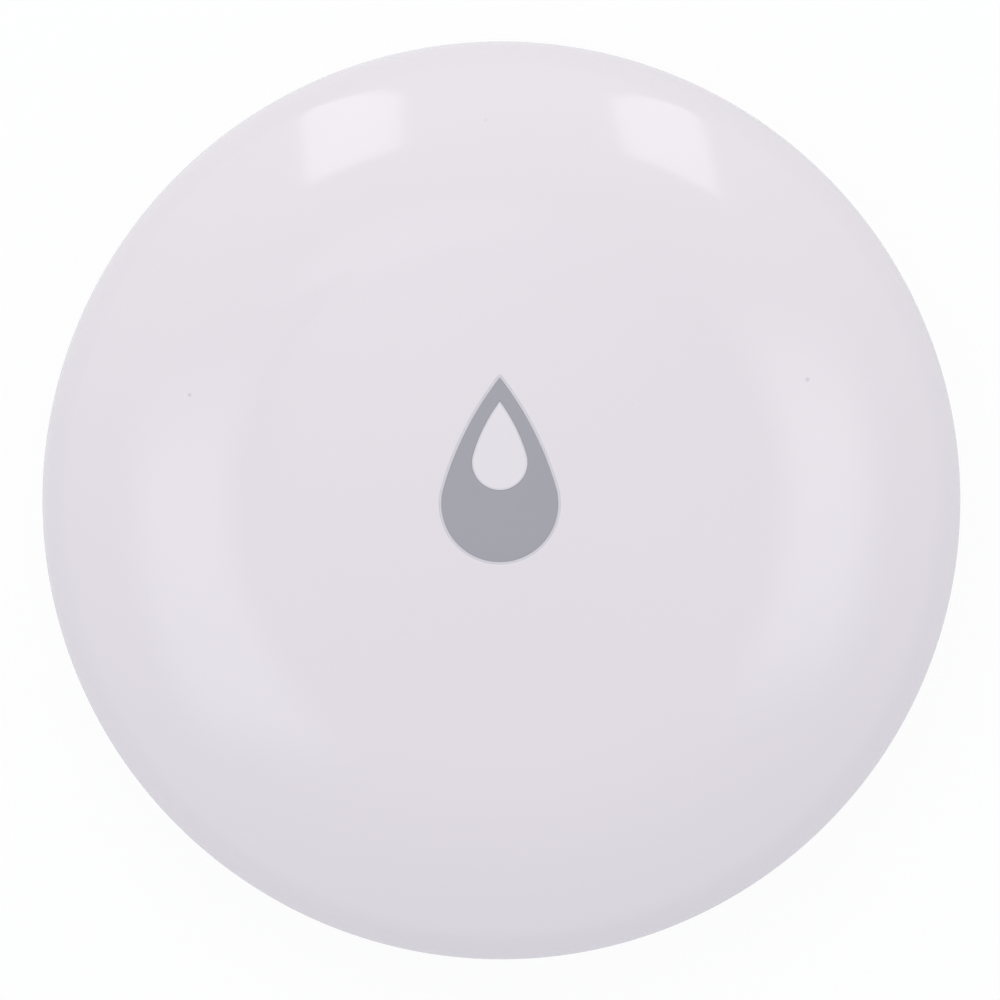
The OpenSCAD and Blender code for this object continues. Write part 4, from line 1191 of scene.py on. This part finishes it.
for name, material in innerFinishes.items():
    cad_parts[name].data.materials.clear()
    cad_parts[name].data.materials.append(material)
print("inner finishes:", len(innerFinishes))

# floor, light and camera
stageLook = {
    "floorReach": 3.0, "floorBounce": (0.83, 0.844, 0.866), "floorTone": 0.95, "mirrorTone": 0.83,
    "floorShow": 0.1, "floorMirror": 0.9,  # shares of the shaded floor that the camera and reflections see
    "underPower": 0.8, "underPlace": (-0.12, 0.16, -0.4), "underSize": 0.3,
    "level": 1.112,  # room light
    "back": 0.225, "left": 0.035, "sides": 0.2,  # more of it from behind and the left, less from the sides
    "frontTint": (0.915, 0.945, 1.0), "backTint": (0.985, 1.0, 1.0), "clothTint": (0.95, 0.98, 1.0),
    "pit": 0.65,  # share of the light that is missing straight below
}


# rays that meet the white of the room: the camera's, mirrored ones and those that pass through
def whiteRays(path):
    seen = calc("MAXIMUM", path["Is Camera Ray"], path["Is Glossy Ray"])
    return calc("MAXIMUM", seen, path["Is Transmission Ray"])


# white to the camera, darker in reflections, and clear from below
def floorFinish(look):
    material, tree, surface = bareFinish("studioFloor")
    path = addNode(tree, "LightPath").outputs
    mirrored = path["Is Glossy Ray"]
    bounce, white, glow = (addNode(tree, kind) for kind in ("BsdfDiffuse", "BsdfDiffuse", "Emission"))
    feed((*look["floorBounce"], 1), bounce.inputs["Color"])
    feed(1.0, glow.inputs["Strength"])
    darker, more = look["mirrorTone"] - look["floorTone"], look["floorMirror"] - look["floorShow"]
    feed(calc("MULTIPLY_ADD", mirrored, darker, look["floorTone"]), white.inputs["Color"])
    share = calc("MULTIPLY_ADD", mirrored, more, look["floorShow"])
    shown = mixShaders(share, glow.outputs[0], white.outputs[0])
    floor = mixShaders(whiteRays(path), bounce.outputs[0], shown)
    back = addNode(tree, "NewGeometry").outputs["Backfacing"]
    away = calc("MAXIMUM", back, path["Is Shadow Ray"])
    clear = addNode(tree, "BsdfTransparent")
    feed(mixShaders(away, floor, clear.outputs[0]), surface)
    return material


def buildFloor(bm):
    loop = circleLoop(stageLook["floorReach"] / mm, 0, count=96)
    bm.faces.new([bm.verts.new(Vector(p) * mm) for p in loop])


floor = makePiece("floor", buildFloor)
if floor.data.polygons[0].normal.z < 0:
    floor.data.flip_normals()
floor.data.materials.append(floorFinish(stageLook))

# softboxes round the object: corners, extra light over the white round them, softness of their edges
softBoxes = {
    "softBoxBackLeft": {
        "corners": ((-0.51, 1.0, 0.0), (-0.245, 1.0, 0.36), (-0.285, 1.0, 0.9), (-0.655, 1.0, 1.0)),
        "extra": 1.8, "soft": 0.08,
    },
    "softBoxBackRight": {
        "corners": ((0.245, 1.0, 0.37), (0.465, 1.0, 0.1), (0.735, 1.0, 0.98), (0.335, 1.0, 0.9)),
        "extra": 1.8, "soft": 0.08,
    },
    "softBoxLeft": {
        "corners": ((-0.85, -0.75, 0.52), (-0.85, 0.35, 0.52), (-0.2, 0.3, 1.2), (-0.2, -0.6, 1.2)),
        "extra": 1.0, "soft": 0.35,
    },
    "softBoxRight": {
        "corners": ((0.88, -0.6, 0.48), (0.88, 0.55, 0.48), (0.27, 0.45, 1.17), (0.27, -0.5, 1.17)),
        "extra": 1.3, "soft": 0.4,
    },
    "softBoxTop": {
        "corners": ((-0.65, -0.15, 1.25), (0.3, -0.15, 1.25), (0.3, 0.8, 1.25), (-0.65, 0.8, 1.25)),
        "extra": 0.8, "soft": 0.5,
    },
}


# brightness falls from the middle of the cloth to the white of the room at its edges
def boxFinish(name, box):
    material, tree, surface = bareFinish(name)
    spot = split(addNode(tree, "UVMap", uv_map="cloth").outputs[0])
    fades = []
    for axis in (0, 1):
        off = calc("ABSOLUTE", calc("SUBTRACT", spot[axis], 0.5))
        fade = addNode(tree, "MapRange", interpolation_type="SMOOTHSTEP")
        feed(box["soft"], fade.inputs["From Max"])
        feed(calc("SUBTRACT", 0.5, off), fade.inputs["Value"])
        fades.append(fade.outputs[0])
    mask = calc("MULTIPLY", *fades)
    glow = addNode(tree, "Emission")
    feed((*stageLook["clothTint"], 1), glow.inputs["Color"])
    feed(calc("MULTIPLY_ADD", mask, box["extra"], 1.0), glow.inputs["Strength"])
    feed(glow.outputs[0], surface)
    return material


# the cloth is a grid between its corners, so that its fade follows its own edges
def buildBox(bm, corners, count=8):
    a, b, c, d = (Vector(p) for p in corners)
    layer = bm.loops.layers.uv.new("cloth")
    steps = spread(0, 1, count)
    rows = [[bm.verts.new(a.lerp(b, u).lerp(d.lerp(c, u), v)) for u in steps] for v in steps]
    for i in range(count - 1):
        for k in range(count - 1):
            face = bm.faces.new((rows[i][k], rows[i][k + 1], rows[i + 1][k + 1], rows[i + 1][k]))
            for loop, (u, v) in zip(face.loops, ((k, i), (k + 1, i), (k + 1, i + 1), (k, i + 1))):
                loop[layer].uv = (steps[u], steps[v])


for name, box in softBoxes.items():
    cloth = makePiece(name, lambda bm: buildBox(bm, box["corners"]))
    cloth.data.materials.append(boxFinish(name + "Cloth", box))
    cloth.visible_camera = False
    cloth.visible_diffuse = False


# white where it is seen; its light is brighter behind, darker at the sides and below
def buildSky(tree, look):
    path = addNode(tree, "LightPath").outputs
    x, y, z = split(place(tree, "Generated"))
    level = calc("MULTIPLY_ADD", y, look["back"], look["level"])
    level = calc("MULTIPLY_ADD", x, -look["left"], level)
    level = calc("MULTIPLY_ADD", calc("MULTIPLY", x, x), -look["sides"], level)
    below = calc("MULTIPLY", z, -1.0, clamp=True)
    fall = calc("MULTIPLY_ADD", below, -look["pit"], 1.0)
    light, white = tree.nodes["Background"], addNode(tree, "Background")
    feed(calc("MULTIPLY", level, fall), light.inputs["Strength"])
    behind = calc("MULTIPLY_ADD", y, 0.5, 0.5)
    feed(mixColours(behind, look["frontTint"], look["backTint"]), light.inputs["Color"])
    feed((1, 1, 1, 1), white.inputs["Color"])
    mirrored = calc("MULTIPLY", below, path["Is Glossy Ray"])
    feed(calc("MULTIPLY_ADD", mirrored, -look["pit"], 1.0), white.inputs["Strength"])
    sky = mixShaders(whiteRays(path), light.outputs[0], white.outputs[0])
    feed(sky, tree.nodes["World Output"].inputs["Surface"])


world = bpy.data.worlds.new("studio")
world.use_nodes = True
buildSky(world.node_tree, stageLook)
scene.world = world

underLamp = bpy.data.lights.new("underLight", "AREA")  # shows the underside through the floor
underLamp.shape = "SQUARE"
underLamp.size = stageLook["underSize"]
underLamp.energy = stageLook["underPower"]
underLight = bpy.data.objects.new("underLight", underLamp)
underLight.location = stageLook["underPlace"]
underLight.rotation_euler = Vector(stageLook["underPlace"]).to_track_quat("Z", "Y").to_euler()
underLight.visible_camera = False
scene.collection.objects.link(underLight)

viewPoint = {
    "distance": 1.2, "frame": 54.466, "offset": (-0.072, 0.019), "lean": 0.64,
    "sensor": 36.0, "clip": (0.05, 10.0),
}
lens = bpy.data.cameras.new("camera")
lens.sensor_width = viewPoint["sensor"]
lens.lens = viewPoint["sensor"] * viewPoint["distance"] / (viewPoint["frame"] * mm)
lens.clip_start, lens.clip_end = viewPoint["clip"]
camera = bpy.data.objects.new("camera", lens)
cameraLean = math.radians(viewPoint["lean"])
camera.location = (
    viewPoint["offset"][0] * mm + viewPoint["distance"] * math.sin(cameraLean), viewPoint["offset"][1] * mm,
    caseShape["edge"][1] * mm + viewPoint["distance"] * math.cos(cameraLean),
)
camera.rotation_euler = (0, cameraLean, 0)
scene.collection.objects.link(camera)
scene.camera = camera
scene.view_settings.view_transform = "Standard"
print("stage ready")
